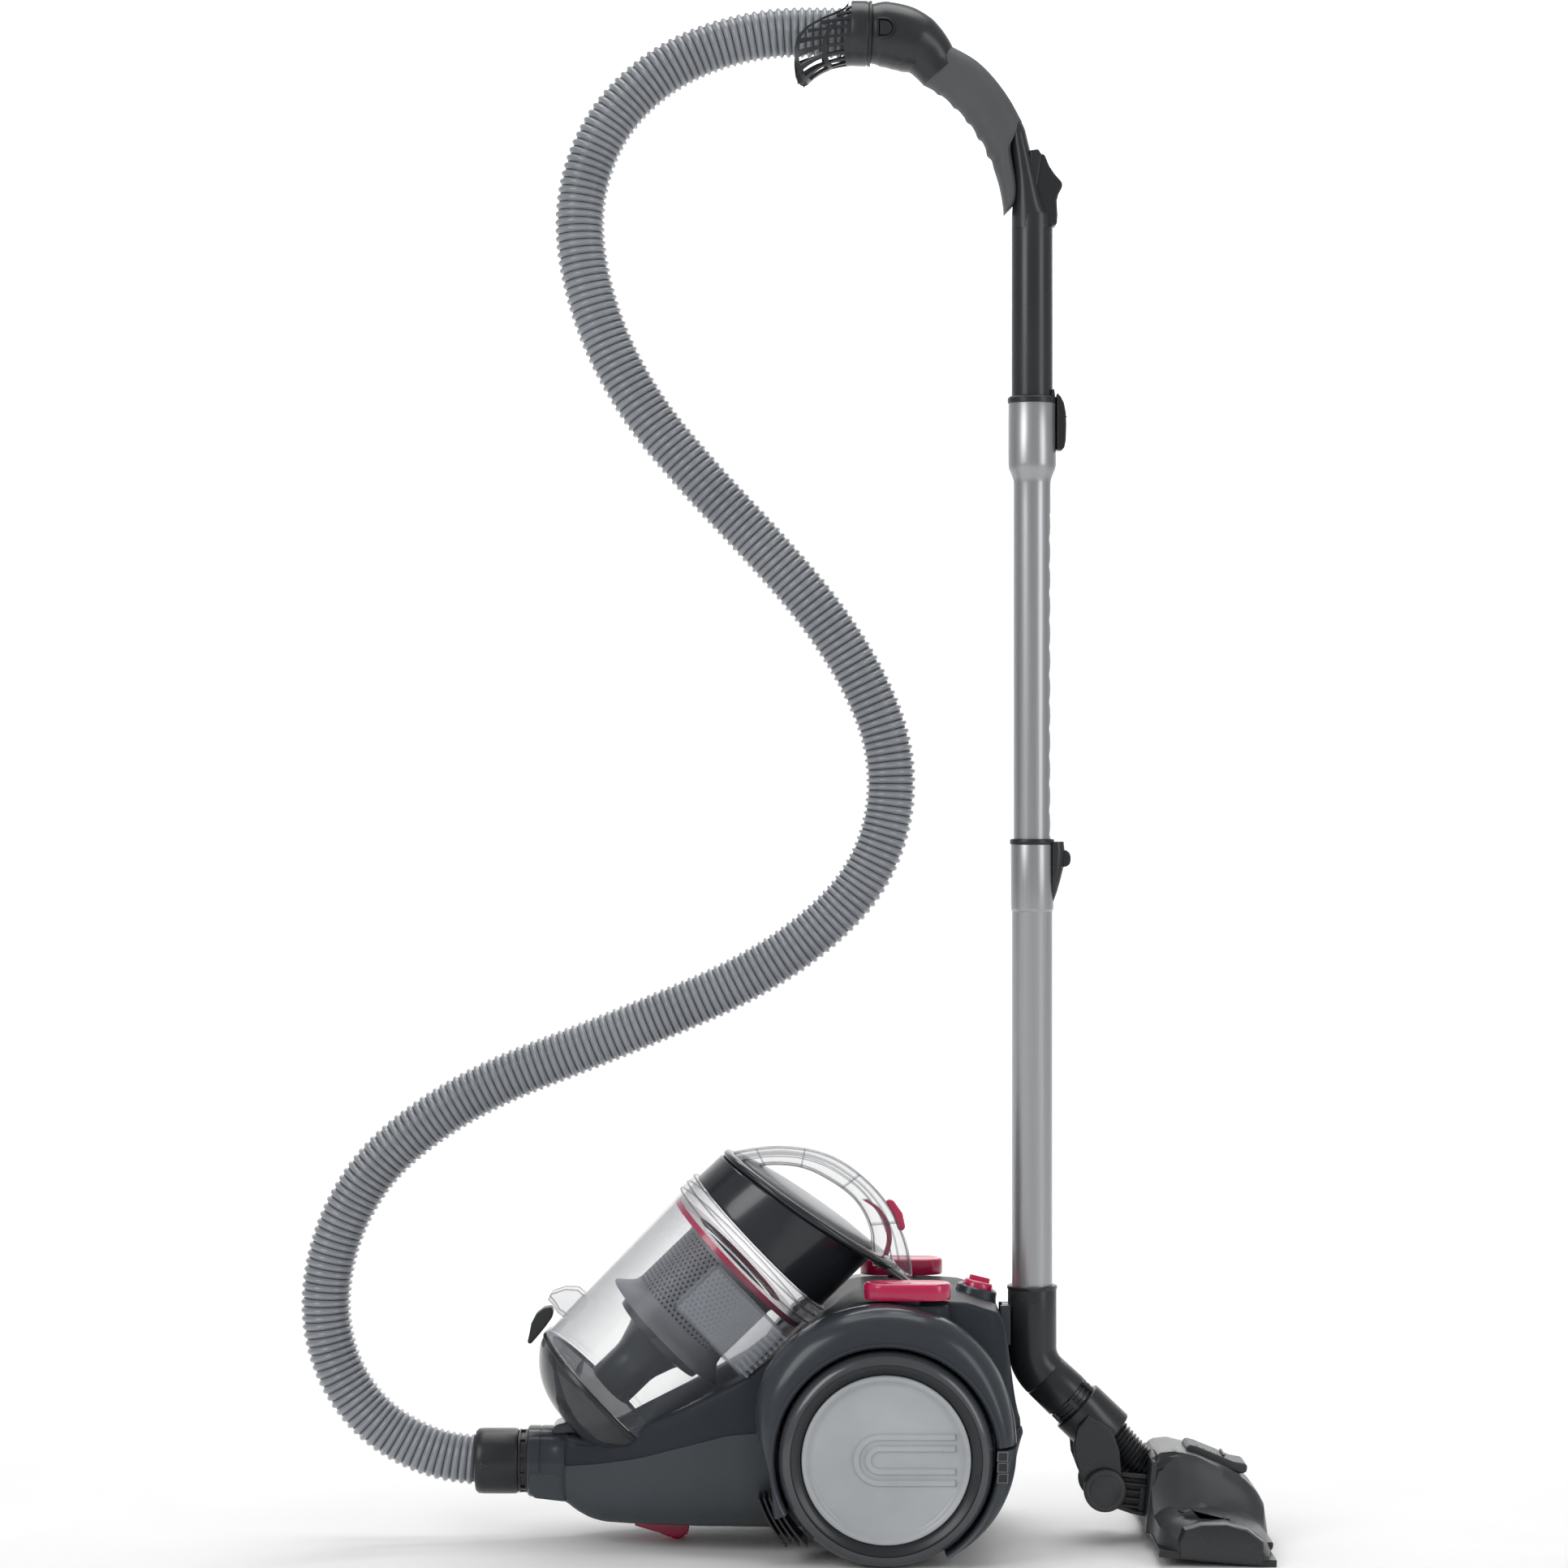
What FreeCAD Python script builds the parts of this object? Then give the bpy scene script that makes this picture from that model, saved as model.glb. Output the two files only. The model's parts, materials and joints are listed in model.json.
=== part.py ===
import FreeCAD, Part
import math
import os

import Sketcher
from FreeCAD import Placement, Rotation, Vector

# Canister vacuum cleaner, standing with its wand parked upright behind it.
# Origin on the floor under the wheel axle, midway between the wheels. +Z is up,
# +X points from the hose inlet to the parked wand, and Y runs along the axle.

doc = FreeCAD.newDocument("canister_vacuum_cleaner")
sizes = doc.addObject("Spreadsheet::Sheet", "Sizes")

DRIVING_SIZES = [
    ("wall", 2.5),
    ("play", 0.05),
    ("wheel_radius", 90),
    ("wheel_width", 46),
    ("wheel_middle", 125),
    ("disc_radius", 70),
    ("axle_radius", 6),
    ("arch_width", 50),
    ("inlet_height", 66.5),
    ("inlet_radius", 30.5),
    ("inlet_bore", 24.3),
    ("cuff_radius", 28),
    ("hose_radius", 21.7),
    ("hose_wall", 1.2),
    ("vent_width", 110),
    ("bin_x", -123.9),
    ("bin_z", 238.4),
    ("bin_turn", 46),
    ("cup_radius", 77.5),
    ("cup_foot", -160),
    ("cup_draft", 3.5),
    ("cover_radius", 75.5),
    ("lid_x", -137.2),
    ("lid_z", 330.2),
    ("lid_slope", 34.35),
    ("handle_width", 20),
    ("latch_width", 18),
    ("wand_x", 129.3),
    ("lower_tube_radius", 17.5),
    ("upper_tube_radius", 16),
    ("tube_wall", 1.1),
    ("socket_radius", 20.6),
    ("handle_radius", 17.75),
    ("grip_width", 34),
    ("elbow_radius", 26),
    ("neck_radius", 21),
    ("collar_radius", 24.5),
    ("neck_turn", 133.5),
    ("neck_bend", 34),
    ("pivot_x", 189.5),
    ("pivot_z", 46.4),
    ("pin_radius", 3),
    ("yoke_width", 60),
    ("roller_radius", 18.2),
    ("roller_width", 6.8),
    ("head_dip", 5),
    ("head_width", 270),
    ("sole_level", -34.7),
    ("sole_thickness", 6),
    ("brush_drop", 2),
    ("caster_x", -205),
    ("caster_trail", 28),
    ("caster_radius", 9),
    ("pedal_x", 19),
    ("pedal_length", 73),
    ("pedal_width", 35),
    ("pedal_middle", 90),
    ("pedal_height", 9),
    ("knob_radius", 12.5),
    ("reel_radius", 58),
    ("motor_radius", 46),
    ("motor_length", 62),
]
for row, (alias, value) in enumerate(DRIVING_SIZES, start=1):
    sizes.set(f"A{row}", alias)
    sizes.set(f"B{row}", str(value))
    sizes.setAlias(f"B{row}", alias)
doc.recompute()


def size(entry):
    """Number behind an entry, which is a plain number or an expression on the sheet."""
    return float(sizes.evalExpression(str(entry)))


WALL = size("Sizes.wall")
AXIS_X = Vector(1, 0, 0)
AXIS_Y = Vector(0, 1, 0)
AXIS_Z = Vector(0, 0, 1)
parts = []


# ---- bodies with sketches bound to the sheet -------------------------------------------

def new_body(name, at=(0, 0, 0), rotation=None):
    """Body placed at a point whose coordinates are numbers or expressions."""
    body = doc.addObject("PartDesign::Body", name)
    body.Label = name
    body.Placement = Placement(Vector(*[size(entry) for entry in at]), rotation or Rotation())
    for letter, entry in zip("xyz", at):
        if isinstance(entry, str):
            body.setExpression(f"Placement.Base.{letter}", entry)
    parts.append(body)
    return body


def new_sketch(body, name, plane):
    sketch = body.newObject("Sketcher::SketchObject", name)
    support = [item for item in body.Origin.OriginFeatures if item.Role == plane][0]
    sketch.AttachmentSupport = [(support, "")]
    sketch.MapMode = "FlatFace"
    return sketch


def constrain(sketch, entry, kind, *place):
    """Dimension with a number, or bound to the sheet where the entry is an expression."""
    index = sketch.addConstraint(Sketcher.Constraint(kind, *place, size(entry)))
    if isinstance(entry, str):
        sketch.setExpression(f"Constraints[{index}]", entry)


def outline(body, name, points, plane="XZ_Plane"):
    """Closed outline of straight edges through (across, up) points."""
    sketch = new_sketch(body, name, plane)
    corners = [Vector(size(across), size(up), 0) for across, up in points]
    edges = [Part.LineSegment(p, q) for p, q in zip(corners, corners[1:] + corners[:1])]
    sketch.addGeometry(edges, False)
    for k, (across, up) in enumerate(points):
        sketch.addConstraint(Sketcher.Constraint("Coincident", (k - 1) % len(points), 2, k, 1))
        constrain(sketch, across, "DistanceX", -1, 1, k, 1)
        constrain(sketch, up, "DistanceY", -1, 1, k, 1)
    return sketch


def disc(body, name, across, up, radius, plane="XZ_Plane"):
    sketch = new_sketch(body, name, plane)
    middle = Vector(size(across), size(up), 0)
    sketch.addGeometry([Part.Circle(middle, AXIS_Z, size(radius))], False)
    constrain(sketch, radius, "Radius", 0)
    constrain(sketch, across, "DistanceX", -1, 1, 0, 3)
    constrain(sketch, up, "DistanceY", -1, 1, 0, 3)
    return sketch


def stadium(body, name, length, width):
    """Slot outline about the body's own Z axis, with round ends."""
    sketch = new_sketch(body, name, "XY_Plane")
    radius = size(width) / 2
    right = Vector(size(length) / 2 - radius, 0, 0)
    drop = Vector(0, radius, 0)
    tip = Vector(radius, 0, 0)
    sketch.addGeometry([
        Part.LineSegment(-right - drop, right - drop),
        Part.Arc(right - drop, right + tip, right + drop),
        Part.LineSegment(right + drop, -right + drop),
        Part.Arc(-right + drop, -right - tip, -right - drop),
    ], False)
    for k in range(4):
        sketch.addConstraint(Sketcher.Constraint("Tangent", k, 2, (k + 1) % 4, 1))
    for k in (0, 2):
        sketch.addConstraint(Sketcher.Constraint("Horizontal", k))
    constrain(sketch, f"({width}) / 2", "Radius", 1)
    constrain(sketch, f"(({length}) - ({width})) / 2", "DistanceX", -1, 1, 1, 3)
    constrain(sketch, f"(({width}) - ({length})) / 2", "DistanceX", -1, 1, 3, 3)
    constrain(sketch, 0, "DistanceY", -1, 1, 1, 3)
    return sketch


def set_length(feature, entry):
    feature.Length = size(entry)
    if isinstance(entry, str):
        feature.setExpression("Length", entry)


def padded(body, sketch, length, midplane=True, backwards=False):
    feature = body.newObject("PartDesign::Pad", sketch.Name + "_pad")
    feature.Profile = sketch
    feature.Midplane = midplane
    feature.Reversed = backwards
    set_length(feature, length)
    body.Tip = feature
    doc.recompute()


def pocketed(body, sketch, length, midplane=True):
    feature = body.newObject("PartDesign::Pocket", sketch.Name + "_pocket")
    feature.Profile = sketch
    feature.Midplane = midplane
    set_length(feature, length)
    body.Tip = feature
    doc.recompute()


def slab(name, points, length, at=(0, 0, 0), rotation=None, plane="XZ_Plane"):
    """Outline padded evenly to both sides of its plane."""
    body = new_body(name, at, rotation)
    padded(body, outline(body, name + "_outline", points, plane), length)
    return body


def turned(name, profile, at=(0, 0, 0), rotation=None):
    """Profile of (radius, height) points turned about the piece's own Z axis."""
    body = new_body(name, at, rotation)
    sketch = outline(body, name + "_profile", profile)
    feature = body.newObject("PartDesign::Revolution", name + "_turn")
    feature.Profile = sketch
    feature.ReferenceAxis = (sketch, ["V_Axis"])
    feature.Angle = 360
    body.Tip = feature
    doc.recompute()
    return body


def sleeve(name, outer, inner, low, high, at=(0, 0, 0), rotation=None):
    """Plain ring from height low to height high."""
    profile = [(inner, low), (outer, low), (outer, high), (inner, high)]
    return turned(name, profile, at, rotation)


def round_top(body, radius):
    """Round the edges that lie wholly in the body's highest plane."""
    base = body.Tip
    top = base.Shape.BoundBox.ZMax
    edges = [
        f"Edge{number}"
        for number, edge in enumerate(base.Shape.Edges, start=1)
        if edge.BoundBox.ZMin > top - 0.01
    ]
    feature = body.newObject("PartDesign::Fillet", body.Name + "_round")
    feature.Base = (base, edges)
    feature.Radius = radius
    body.Tip = feature
    doc.recompute()


# ---- pieces whose shape comes from Part's own functions --------------------------------

def made(name, shape):
    piece = doc.addObject("Part::Feature", name)
    piece.Label = name
    piece.Shape = shape
    parts.append(piece)
    return piece


def prism(points, low, high):
    """Solid between Y = low and Y = high over an outline of (x, z) points."""
    corners = [Vector(a, low, b) for a, b in points]
    wire = Part.makePolygon(corners + corners[:1])
    return Part.Face(wire).extrude(Vector(0, high - low, 0))


def plate(points, low, high):
    """Solid between Z = low and Z = high over an outline of (x, y) points."""
    corners = [Vector(a, b, low) for a, b in points]
    wire = Part.makePolygon(corners + corners[:1])
    return Part.Face(wire).extrude(Vector(0, 0, high - low))


def box(low, high):
    """Box between two corners."""
    return Part.makeBox(*[b - a for a, b in zip(low, high)], Vector(*low))


def rod(start, end, radius):
    axis = end - start
    return Part.makeCylinder(radius, axis.Length, start, axis)


def across_rod(x, z, half_length, radius):
    """Round bar along Y."""
    return rod(Vector(x, -half_length, z), Vector(x, half_length, z), radius)


def upright_rod(x, low, high, radius):
    return rod(Vector(x, 0, low), Vector(x, 0, high), radius)


def tapered(start, end, first_radius, last_radius):
    axis = end - start
    return Part.makeCone(first_radius, last_radius, axis.Length, start, axis)


def both_sides(points):
    """Closed outline made of a half outline and its mirror image."""
    return points + [(a, -b) for a, b in reversed(points)]


def shifted(points, distance):
    """The same closed outline moved inward (negative) or outward by a distance."""
    corners = [Vector(a, b, 0) for a, b in points]
    wire = Part.makePolygon(corners + corners[:1])
    moved = Part.Face(wire).makeOffset2D(distance, 2)
    return [(v.X, v.Y) for v in moved.OuterWire.OrderedVertexes]


# ---- casing of the canister ------------------------------------------------------------

SIDE = [
    (-272, 36), (-256, 25), (-241, 20), (64, 20), (88, 30), (106, 58), (116, 100),
    (107.5, 147.5), (104, 197), (101, 203), (70, 214), (27, 216), (-24, 214), (-60, 193),
    (-118, 150), (-168, 124), (-210, 105), (-224, 97), (-251, 89), (-272, 92),
]
HALF_PLAN = [
    (-272, 33), (-240, 53), (-205, 72), (-165, 86), (-120, 94), (-60, 95), (60, 95),
    (95, 88), (112, 74), (121, 52), (124, 25),
]
SEAM = [(-300, 70), (-247, 70), (-210, 78), (-168, 91), (-119, 105), (140, 105)]
BEYOND = 300
BIN_AT = ("Sizes.bin_x", 0, "Sizes.bin_z")
BIN_TURN = Rotation(AXIS_Y, size("Sizes.bin_turn"))
BIN_PLACE = Placement(Vector(*[size(entry) for entry in BIN_AT]), BIN_TURN)
AXLE_Z = size("Sizes.wheel_radius")
PEDAL_X = size("Sizes.pedal_x")
PEDAL_Y = size("Sizes.pedal_middle")
HINGE_OUT = 85
HINGE_UP = -163.5
OUTLET = Vector(105.4, 48, 160)


def on_bin(shape):
    """Move a shape made along Z to the bin's tilted axis."""
    shape.Placement = BIN_PLACE.multiply(shape.Placement)
    return shape


def body_solid(inset):
    side = prism(shifted(SIDE, -inset) if inset else SIDE, -BEYOND, BEYOND)
    plan = both_sides(HALF_PLAN)
    return side.common(plate(shifted(plan, -inset) if inset else plan, 0, BEYOND))


def bin_space(grow):
    """Room that the bin fills and leaves by as it lifts."""
    radius = 84 + grow
    foot_radius = 56 + grow
    foot = -206 - grow
    shoulder = foot + 43
    cone = Part.makeCone(foot_radius, radius, shoulder - foot, Vector(0, 0, foot))
    tube = Part.makeCylinder(radius, 420, Vector(0, 0, shoulder))
    above = box((-260, -radius, shoulder), (0, radius, BEYOND))
    front = box((-260, -foot_radius, foot), (0, foot_radius, -140))
    return on_bin(cone.fuse([tube, above, front]))


def riser(side):
    """Raised pad under a foot pedal, round at both ends."""
    low = Vector(PEDAL_X, side * PEDAL_Y, 192)
    ends = [Part.makeCylinder(20, 24, low + AXIS_X * step) for step in (-22, 22)]
    middle = Part.makeBox(44, 40, 24, low - Vector(22, 20, 0))
    return middle.fuse(ends).removeSplitter()


def pedal_pit(side):
    """Room under a foot pedal for its stem."""
    return box((4, side * PEDAL_Y - 7, 201), (34, side * PEDAL_Y + 7, 241))


hinge_room = on_bin(box((50, -25, -174), (90, 25, -150)))
axle_hole = across_rod(0, AXLE_Z, 120, size("Sizes.axle_radius + 8 * Sizes.play"))
pin_hole = upright_rod(size("Sizes.caster_x"), 5, 35, 5.4)
outlet_hole = rod(OUTLET - AXIS_X * 15, OUTLET + AXIS_X * 25, 9.1)
parking_rails = [box((102, low, 168), (110, low + 4, 202)) for low in (-15, 11)]

outer = body_solid(0)
walls = outer.cut(body_solid(WALL))
above_seam = prism(SEAM + [(140, BEYOND), (-300, BEYOND)], -BEYOND, BEYOND)
trough = outer.common(bin_space(WALL))
upper = walls.common(above_seam).fuse([trough, riser(-1), riser(1)])
upper = upper.fuse([rail.cut(outer) for rail in parking_rails])
openings = [bin_space(0), hinge_room, axle_hole, outlet_hole, pedal_pit(-1), pedal_pit(1)]
made("upper_shell", upper.cut(openings).removeSplitter())
lower = walls.cut(above_seam)
lower = lower.cut([bin_space(WALL + 0.2), hinge_room, pin_hole, axle_hole])
made("lower_hull", lower.removeSplitter())

ARCH_GAP = 93
ARCH_RADIUS = 124
ARCH_START = 95.2


def arch_outline():
    """Fender outline round the wheel: round above, straight down in front."""
    turns = [math.radians(angle) for angle in range(25, 166, 10)]
    top = [(ARCH_RADIUS * math.cos(t), AXLE_Z + ARCH_RADIUS * math.sin(t)) for t in turns]
    return top + [(-120, 106), (-94, 102), (-94, 40), (-78, 40), (70, 98), (107, 98)]


def wheel_arch(name, side):
    """Hollow fender, open towards the casing, with a flat outer face."""
    inner_face = side * ARCH_START
    outer_face = side * (ARCH_START + size("Sizes.arch_width"))
    skin_face = outer_face - side * WALL
    hole = across_rod(0, AXLE_Z, 200, ARCH_GAP)
    lining = across_rod(0, AXLE_Z, 200, ARCH_GAP + WALL)
    room = prism(shifted(arch_outline(), -WALL), inner_face, skin_face).cut(lining)
    block = prism(arch_outline(), inner_face, outer_face)
    made(name, block.cut([hole, room, riser(side)]))


wheel_arch("wheel_arch_left", 1)
wheel_arch("wheel_arch_right", -1)

# ---- inlet, outlet and exhaust ---------------------------------------------------------

turned(
    "inlet_socket",
    [("Sizes.inlet_bore", 0.2), ("Sizes.inlet_radius", 0.2), ("Sizes.inlet_radius", 32),
     ("Sizes.inlet_radius - 3", 32.5), ("Sizes.inlet_bore", 32.5)],
    (-272.2, 0, "Sizes.inlet_height"),
    Rotation(AXIS_Y, -90),
)
slab("exhaust_filter", [(82, 52), (92, 52), (98, 92), (88, 92)], "Sizes.vent_width")
turned(
    "cord_outlet",
    [(4.2, -6), (9, -6), (9, 3), (6.5, 8), (4.2, 8)],
    tuple(OUTLET),
    Rotation(AXIS_Y, 90),
)

# ---- wheels and front caster -----------------------------------------------------------

RIM = "Sizes.wheel_radius"
DISC = "Sizes.disc_radius"
BORE = "Sizes.axle_radius + Sizes.play"


def wheel(word, side):
    """Dished rim with its disc, and the tyre round it; the outside is at +Z."""
    at = (0, f"{side} * Sizes.wheel_middle", RIM)
    outward = Rotation(AXIS_X, -90 * side)
    turned(
        f"wheel_rim_{word}",
        [(BORE, -16), (14, -16), (14, 6), (f"{DISC} - 2", 6), (f"{DISC} - 2", -14),
         (f"{RIM} - 10.5", -14), (f"{RIM} - 10.5", 16), (f"{DISC} + 0.3", 19),
         (f"{DISC} - 1.5", 20.5), (f"{DISC} - 5.5", 18), (f"{DISC} - 8", 14.5), (0, 14.5),
         (0, 9), (BORE, 9)],
        at, outward,
    )
    back = "-Sizes.wheel_width / 2"
    turned(
        f"wheel_tyre_{word}",
        [(f"{RIM} - 10.3", back), (f"{RIM} - 6", back), (f"{RIM} - 1.5", f"{back} + 5"),
         (RIM, -8), (RIM, 8), (f"{RIM} - 1.5", 14), (f"{RIM} - 6", 20), (f"{RIM} - 10.3", 21)],
        at, outward,
    )


wheel("left", 1)
wheel("right", -1)

wheel_axles = new_body("wheel_axles")
axle_disc = disc(wheel_axles, "axle_section", 0, RIM, "Sizes.axle_radius")
padded(wheel_axles, axle_disc, "2 * Sizes.wheel_middle + 17")
axle_gap = disc(wheel_axles, "axle_gap", 0, RIM, "Sizes.axle_radius + 1")
pocketed(wheel_axles, axle_gap, 170)

caster_fork = new_body("caster_fork", ("Sizes.caster_x", 0, 15.5))
crown = outline(
    caster_fork, "fork_crown", both_sides([(-8, 11), (6, 13), (24, 13), (38, 12)]), "XY_Plane"
)
padded(caster_fork, crown, 3.9, midplane=False)
pin = disc(caster_fork, "fork_pin", 0, 0, 5, "XY_Plane")
padded(caster_fork, pin, 22, midplane=False)
cheeks = outline(caster_fork, "fork_cheeks", [(19, -10.5), (37, -10.5), (37, 0.5), (19, 0.5)])
padded(caster_fork, cheeks, 25)
slot = outline(caster_fork, "fork_slot", [(17.5, -11), (47, -11), (47, 4.5), (17.5, 4.5)])
pocketed(caster_fork, slot, 18.8)
spindle = disc(caster_fork, "fork_spindle", "Sizes.caster_trail", -6.5, 2)
padded(caster_fork, spindle, 25)

turned(
    "caster_roller",
    [("2 + Sizes.play", -9), (7.5, -9), ("Sizes.caster_radius", -7), ("Sizes.caster_radius", 7),
     (7.5, 9), ("2 + Sizes.play", 9)],
    ("Sizes.caster_x + Sizes.caster_trail", 0, "Sizes.caster_radius"),
    Rotation(AXIS_X, 90),
)

# ---- motor, cord reel and electronics --------------------------------------------------

CAN = "Sizes.motor_radius"
CAN_END = "Sizes.motor_length / 2"
MOTOR_AT = (30, 44, 108)
REEL_AT = (30, -46, 110)
ALONG_Y = Rotation(AXIS_X, -90)
turned(
    "motor_housing",
    [(12, f"-{CAN_END}"), (CAN, f"-{CAN_END}"), (CAN, CAN_END), (f"{CAN} - 3", CAN_END),
     (f"{CAN} - 3", 4), (22, 4), (22, -20), (f"{CAN} - 3", -20), (f"{CAN} - 3", f"3 - {CAN_END}"),
     (12, f"3 - {CAN_END}")],
    MOTOR_AT, ALONG_Y,
)
turned(
    "motor_rotor",
    [(0, -34), (4, -34), (4, -22), (21, -22), (21, 6), (4, 6), (4, 12), (40, 12), (40, 14),
     (10, 24), (4, 24), (4, 26), (0, 26)],
    MOTOR_AT, ALONG_Y,
)
FLANGE = "Sizes.reel_radius"
turned(
    "cord_reel",
    [("5 + Sizes.play", -20), (FLANGE, -20), (FLANGE, -17.5), (20, -17.5), (20, 17.5),
     (FLANGE, 17.5), (FLANGE, 20), ("5 + Sizes.play", 20)],
    REEL_AT, ALONG_Y,
)
turned(
    "reel_axle",
    [(0, -30), (5, -30), (5, 22.5), (16, 22.5), (16, 25), (0, 25)],
    REEL_AT, ALONG_Y,
)
slab("circuit_board", [(40, 192), (84, 192), (84, 194), (40, 194)], 60)

# ---- pedals and power dial on the deck -------------------------------------------------

PEDAL_MIDDLE_Z = 227


def foot_pedal(name, side):
    """Round-ended foot pedal with a stem that slides in its pit."""
    body = new_body(name, ("Sizes.pedal_x", f"{side} * Sizes.pedal_middle", PEDAL_MIDDLE_Z))
    padded(body, stadium(body, name + "_outline", "Sizes.pedal_length", "Sizes.pedal_width"),
           "Sizes.pedal_height")
    padded(body, stadium(body, name + "_stem", "24", "10"), 18, midplane=False, backwards=True)
    round_top(body, 2)


foot_pedal("power_pedal", -1)
foot_pedal("rewind_pedal", 1)
turned(
    "power_knob",
    [(0, 0), ("Sizes.knob_radius", 0), ("Sizes.knob_radius", 5), ("Sizes.knob_radius - 1.5", 7),
     (0, 7)],
    (82, 0, 215.5),
    Rotation(AXIS_Y, 14),
)

# ---- dust bin, along its own tilted axis -----------------------------------------------

CUP = size("Sizes.cup_radius")
FOOT = size("Sizes.cup_foot")
BAND_FOOT = 8.5
FLAP_SHIFT = 4.5
HINGE = on_bin(Part.Vertex(HINGE_OUT, 0, HINGE_UP)).Point


def hinge_rod(half_length, radius):
    return across_rod(HINGE_OUT, HINGE_UP, half_length, radius)


def leaning(grow, low, high):
    """Round solid that narrows towards its foot and stays straight on the hinge side."""
    rings = []
    for level in (low, high):
        inward = size("Sizes.cup_draft") * (BAND_FOOT - level) / (BAND_FOOT - FOOT)
        ring = Part.makeCircle(CUP + grow - inward, Vector(inward, 0, level))
        rings.append(Part.Wire([ring]))
    return Part.makeLoft(rings, True)


def bin_cup_shape():
    """Clear cup with its foot flange, top band, hinge ears and the inlet duct."""
    core = leaning(0, -200, BAND_FOOT).fuse(Part.makeCylinder(CUP, 40, Vector(0, 0, BAND_FOOT)))
    top_bore = Part.makeCylinder(CUP - WALL, 40, Vector(0, 0, BAND_FOOT))
    bore = leaning(-WALL, -200, BAND_FOOT).fuse(top_bore)
    wall = leaning(0, FOOT, BAND_FOOT)
    flange = Part.makeCylinder(77.5, 4, Vector(FLAP_SHIFT, 0, FOOT))
    band = Part.makeCylinder(80.5, 17, Vector(0, 0, BAND_FOOT))
    ears = box((80.3, -21.5, HINGE_UP - 3.5), (88.3, 21.5, HINGE_UP + 7))
    ears = ears.cut([box((76, -12.5, HINGE_UP - 12), (96, 12.5, HINGE_UP + 8)), hinge_rod(25, 2.01)])
    duct_room = box((-11.5, -91.5, -53.5), (52.5, -51.5, -8.5))
    duct = box((-14, -94, -56), (55, -74, -6)).cut([duct_room, core])
    return wall.fuse([flange, band, ears]).cut([bore, duct_room]).fuse(duct).removeSplitter()


made("bin_cup", on_bin(bin_cup_shape()))
sleeve("red_ring", 73.3, 49, -3, 2, BIN_AT, BIN_TURN)

LID_AT = ("Sizes.lid_x", 0, "Sizes.lid_z")
LID_TURN = Rotation(AXIS_Y, size("Sizes.lid_slope"))
LID_PLACE = Placement(Vector(*[size(entry) for entry in LID_AT]), LID_TURN)
COVER = size("Sizes.cover_radius")
cover = Part.makeCylinder(COVER, 140, Vector(0, 0, 25.5))
cover = on_bin(cover.cut(Part.makeCylinder(COVER - WALL, 160, Vector(0, 0, 20))))
above_lid = box((-100, -200, 0), (400, 200, 300))
above_lid.Placement = LID_PLACE
made("bin_cover", cover.cut(above_lid))


def oval(half_length, half_width, middle, low, high):
    """Oval slab in the plane of the bin's lid."""
    ring = Part.Ellipse(Vector(middle, 0, low), half_length, half_width)
    face = Part.Face(Part.Wire([ring.toShape()]))
    return face.extrude(Vector(0, 0, high - low))


bezel_tail = box((140, -38, 0.2), (200, 38, 7.2))
bezel = oval(90, 78, 90, 0.2, 7.2).fuse(bezel_tail).cut(oval(68, 60, 84, 3.2, 9))
bezel.Placement = LID_PLACE
made("top_bezel", bezel.removeSplitter())
lid = oval(67.5, 59.5, 84, 3.4, 12)
lid = lid.makeFillet(6, [edge for edge in lid.Edges if edge.BoundBox.ZMin > 11])
lid.Placement = LID_PLACE
made("top_lid", lid)

HANDLE_OUTER = [
    (-138, 331), (-112, 336), (-84.4, 338), (-60, 335), (-38.6, 327.4), (-20, 315), (-4.3, 300.2),
    (8, 284), (15.7, 268.8), (21.5, 254), (25, 236),
]
HANDLE_INNER = [
    (-10, 252), (-10.5, 264), (-16, 279), (-24.5, 291.6), (-35, 301), (-47.2, 308.8), (-61, 316),
    (-75.7, 320.3), (-95, 321.5), (-113, 319),
]
half_handle = size("Sizes.handle_width / 2")
below_bezel = box((-100, -200, -292.8), (400, 200, 7.2))
below_bezel.Placement = LID_PLACE
button_room = prism([(9, 264), (20, 264), (9, 294), (-4, 294)], -6.5, 6.5)
handle = prism(HANDLE_OUTER + HANDLE_INNER, -half_handle, half_handle)
made("bin_handle", handle.cut([below_bezel, lid, button_room]))
slab(
    "release_button",
    [(13.5, 266), (19.5, 266), (16.5, 280), (8, 292), (2.5, 291), (8, 280)],
    12,
)

turned(
    "shroud",
    [(46.5, -5), (48.9, -5), (48.9, -73), (62, -87), (60, -88), (48, -80), (45, -97), (29, -97),
     (21, -121), (21, -155), (18.5, -155), (18.5, -120), (27, -94), (42, -94), (46.5, -72)],
    BIN_AT, BIN_TURN,
)
sleeve("motor_filter", 60, 12, 26, 48, BIN_AT, BIN_TURN)

DISH = [
    (0, -202), (21, -201), (42.5, -196), (60, -185.6), (71, -174), (75.5, -165), (75.5, -160.4),
    (69.5, -160.4), (67, -168), (56, -183), (40, -192.5), (20, -197.5), (0, -198.5),
]
dish_section = Part.Face(Part.makePolygon([Vector(a, 0, b) for a, b in DISH + DISH[:1]]))
dish = dish_section.revolve(Vector(), AXIS_Z, 360)
dish.translate(Vector(FLAP_SHIFT, 0, 0))
knuckle = box((77.5, -12, HINGE_UP - 2.5), (HINGE_OUT, 12, HINGE_UP + 2.5)).fuse(hinge_rod(12, 3.4))
made("bin_flap", on_bin(dish.fuse(knuckle.cut(hinge_rod(20, 2 + size("Sizes.play"))))))
sleeve("flap_pin", 2, 0, -22, 22, tuple(HINGE), Rotation(AXIS_X, 90))

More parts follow.
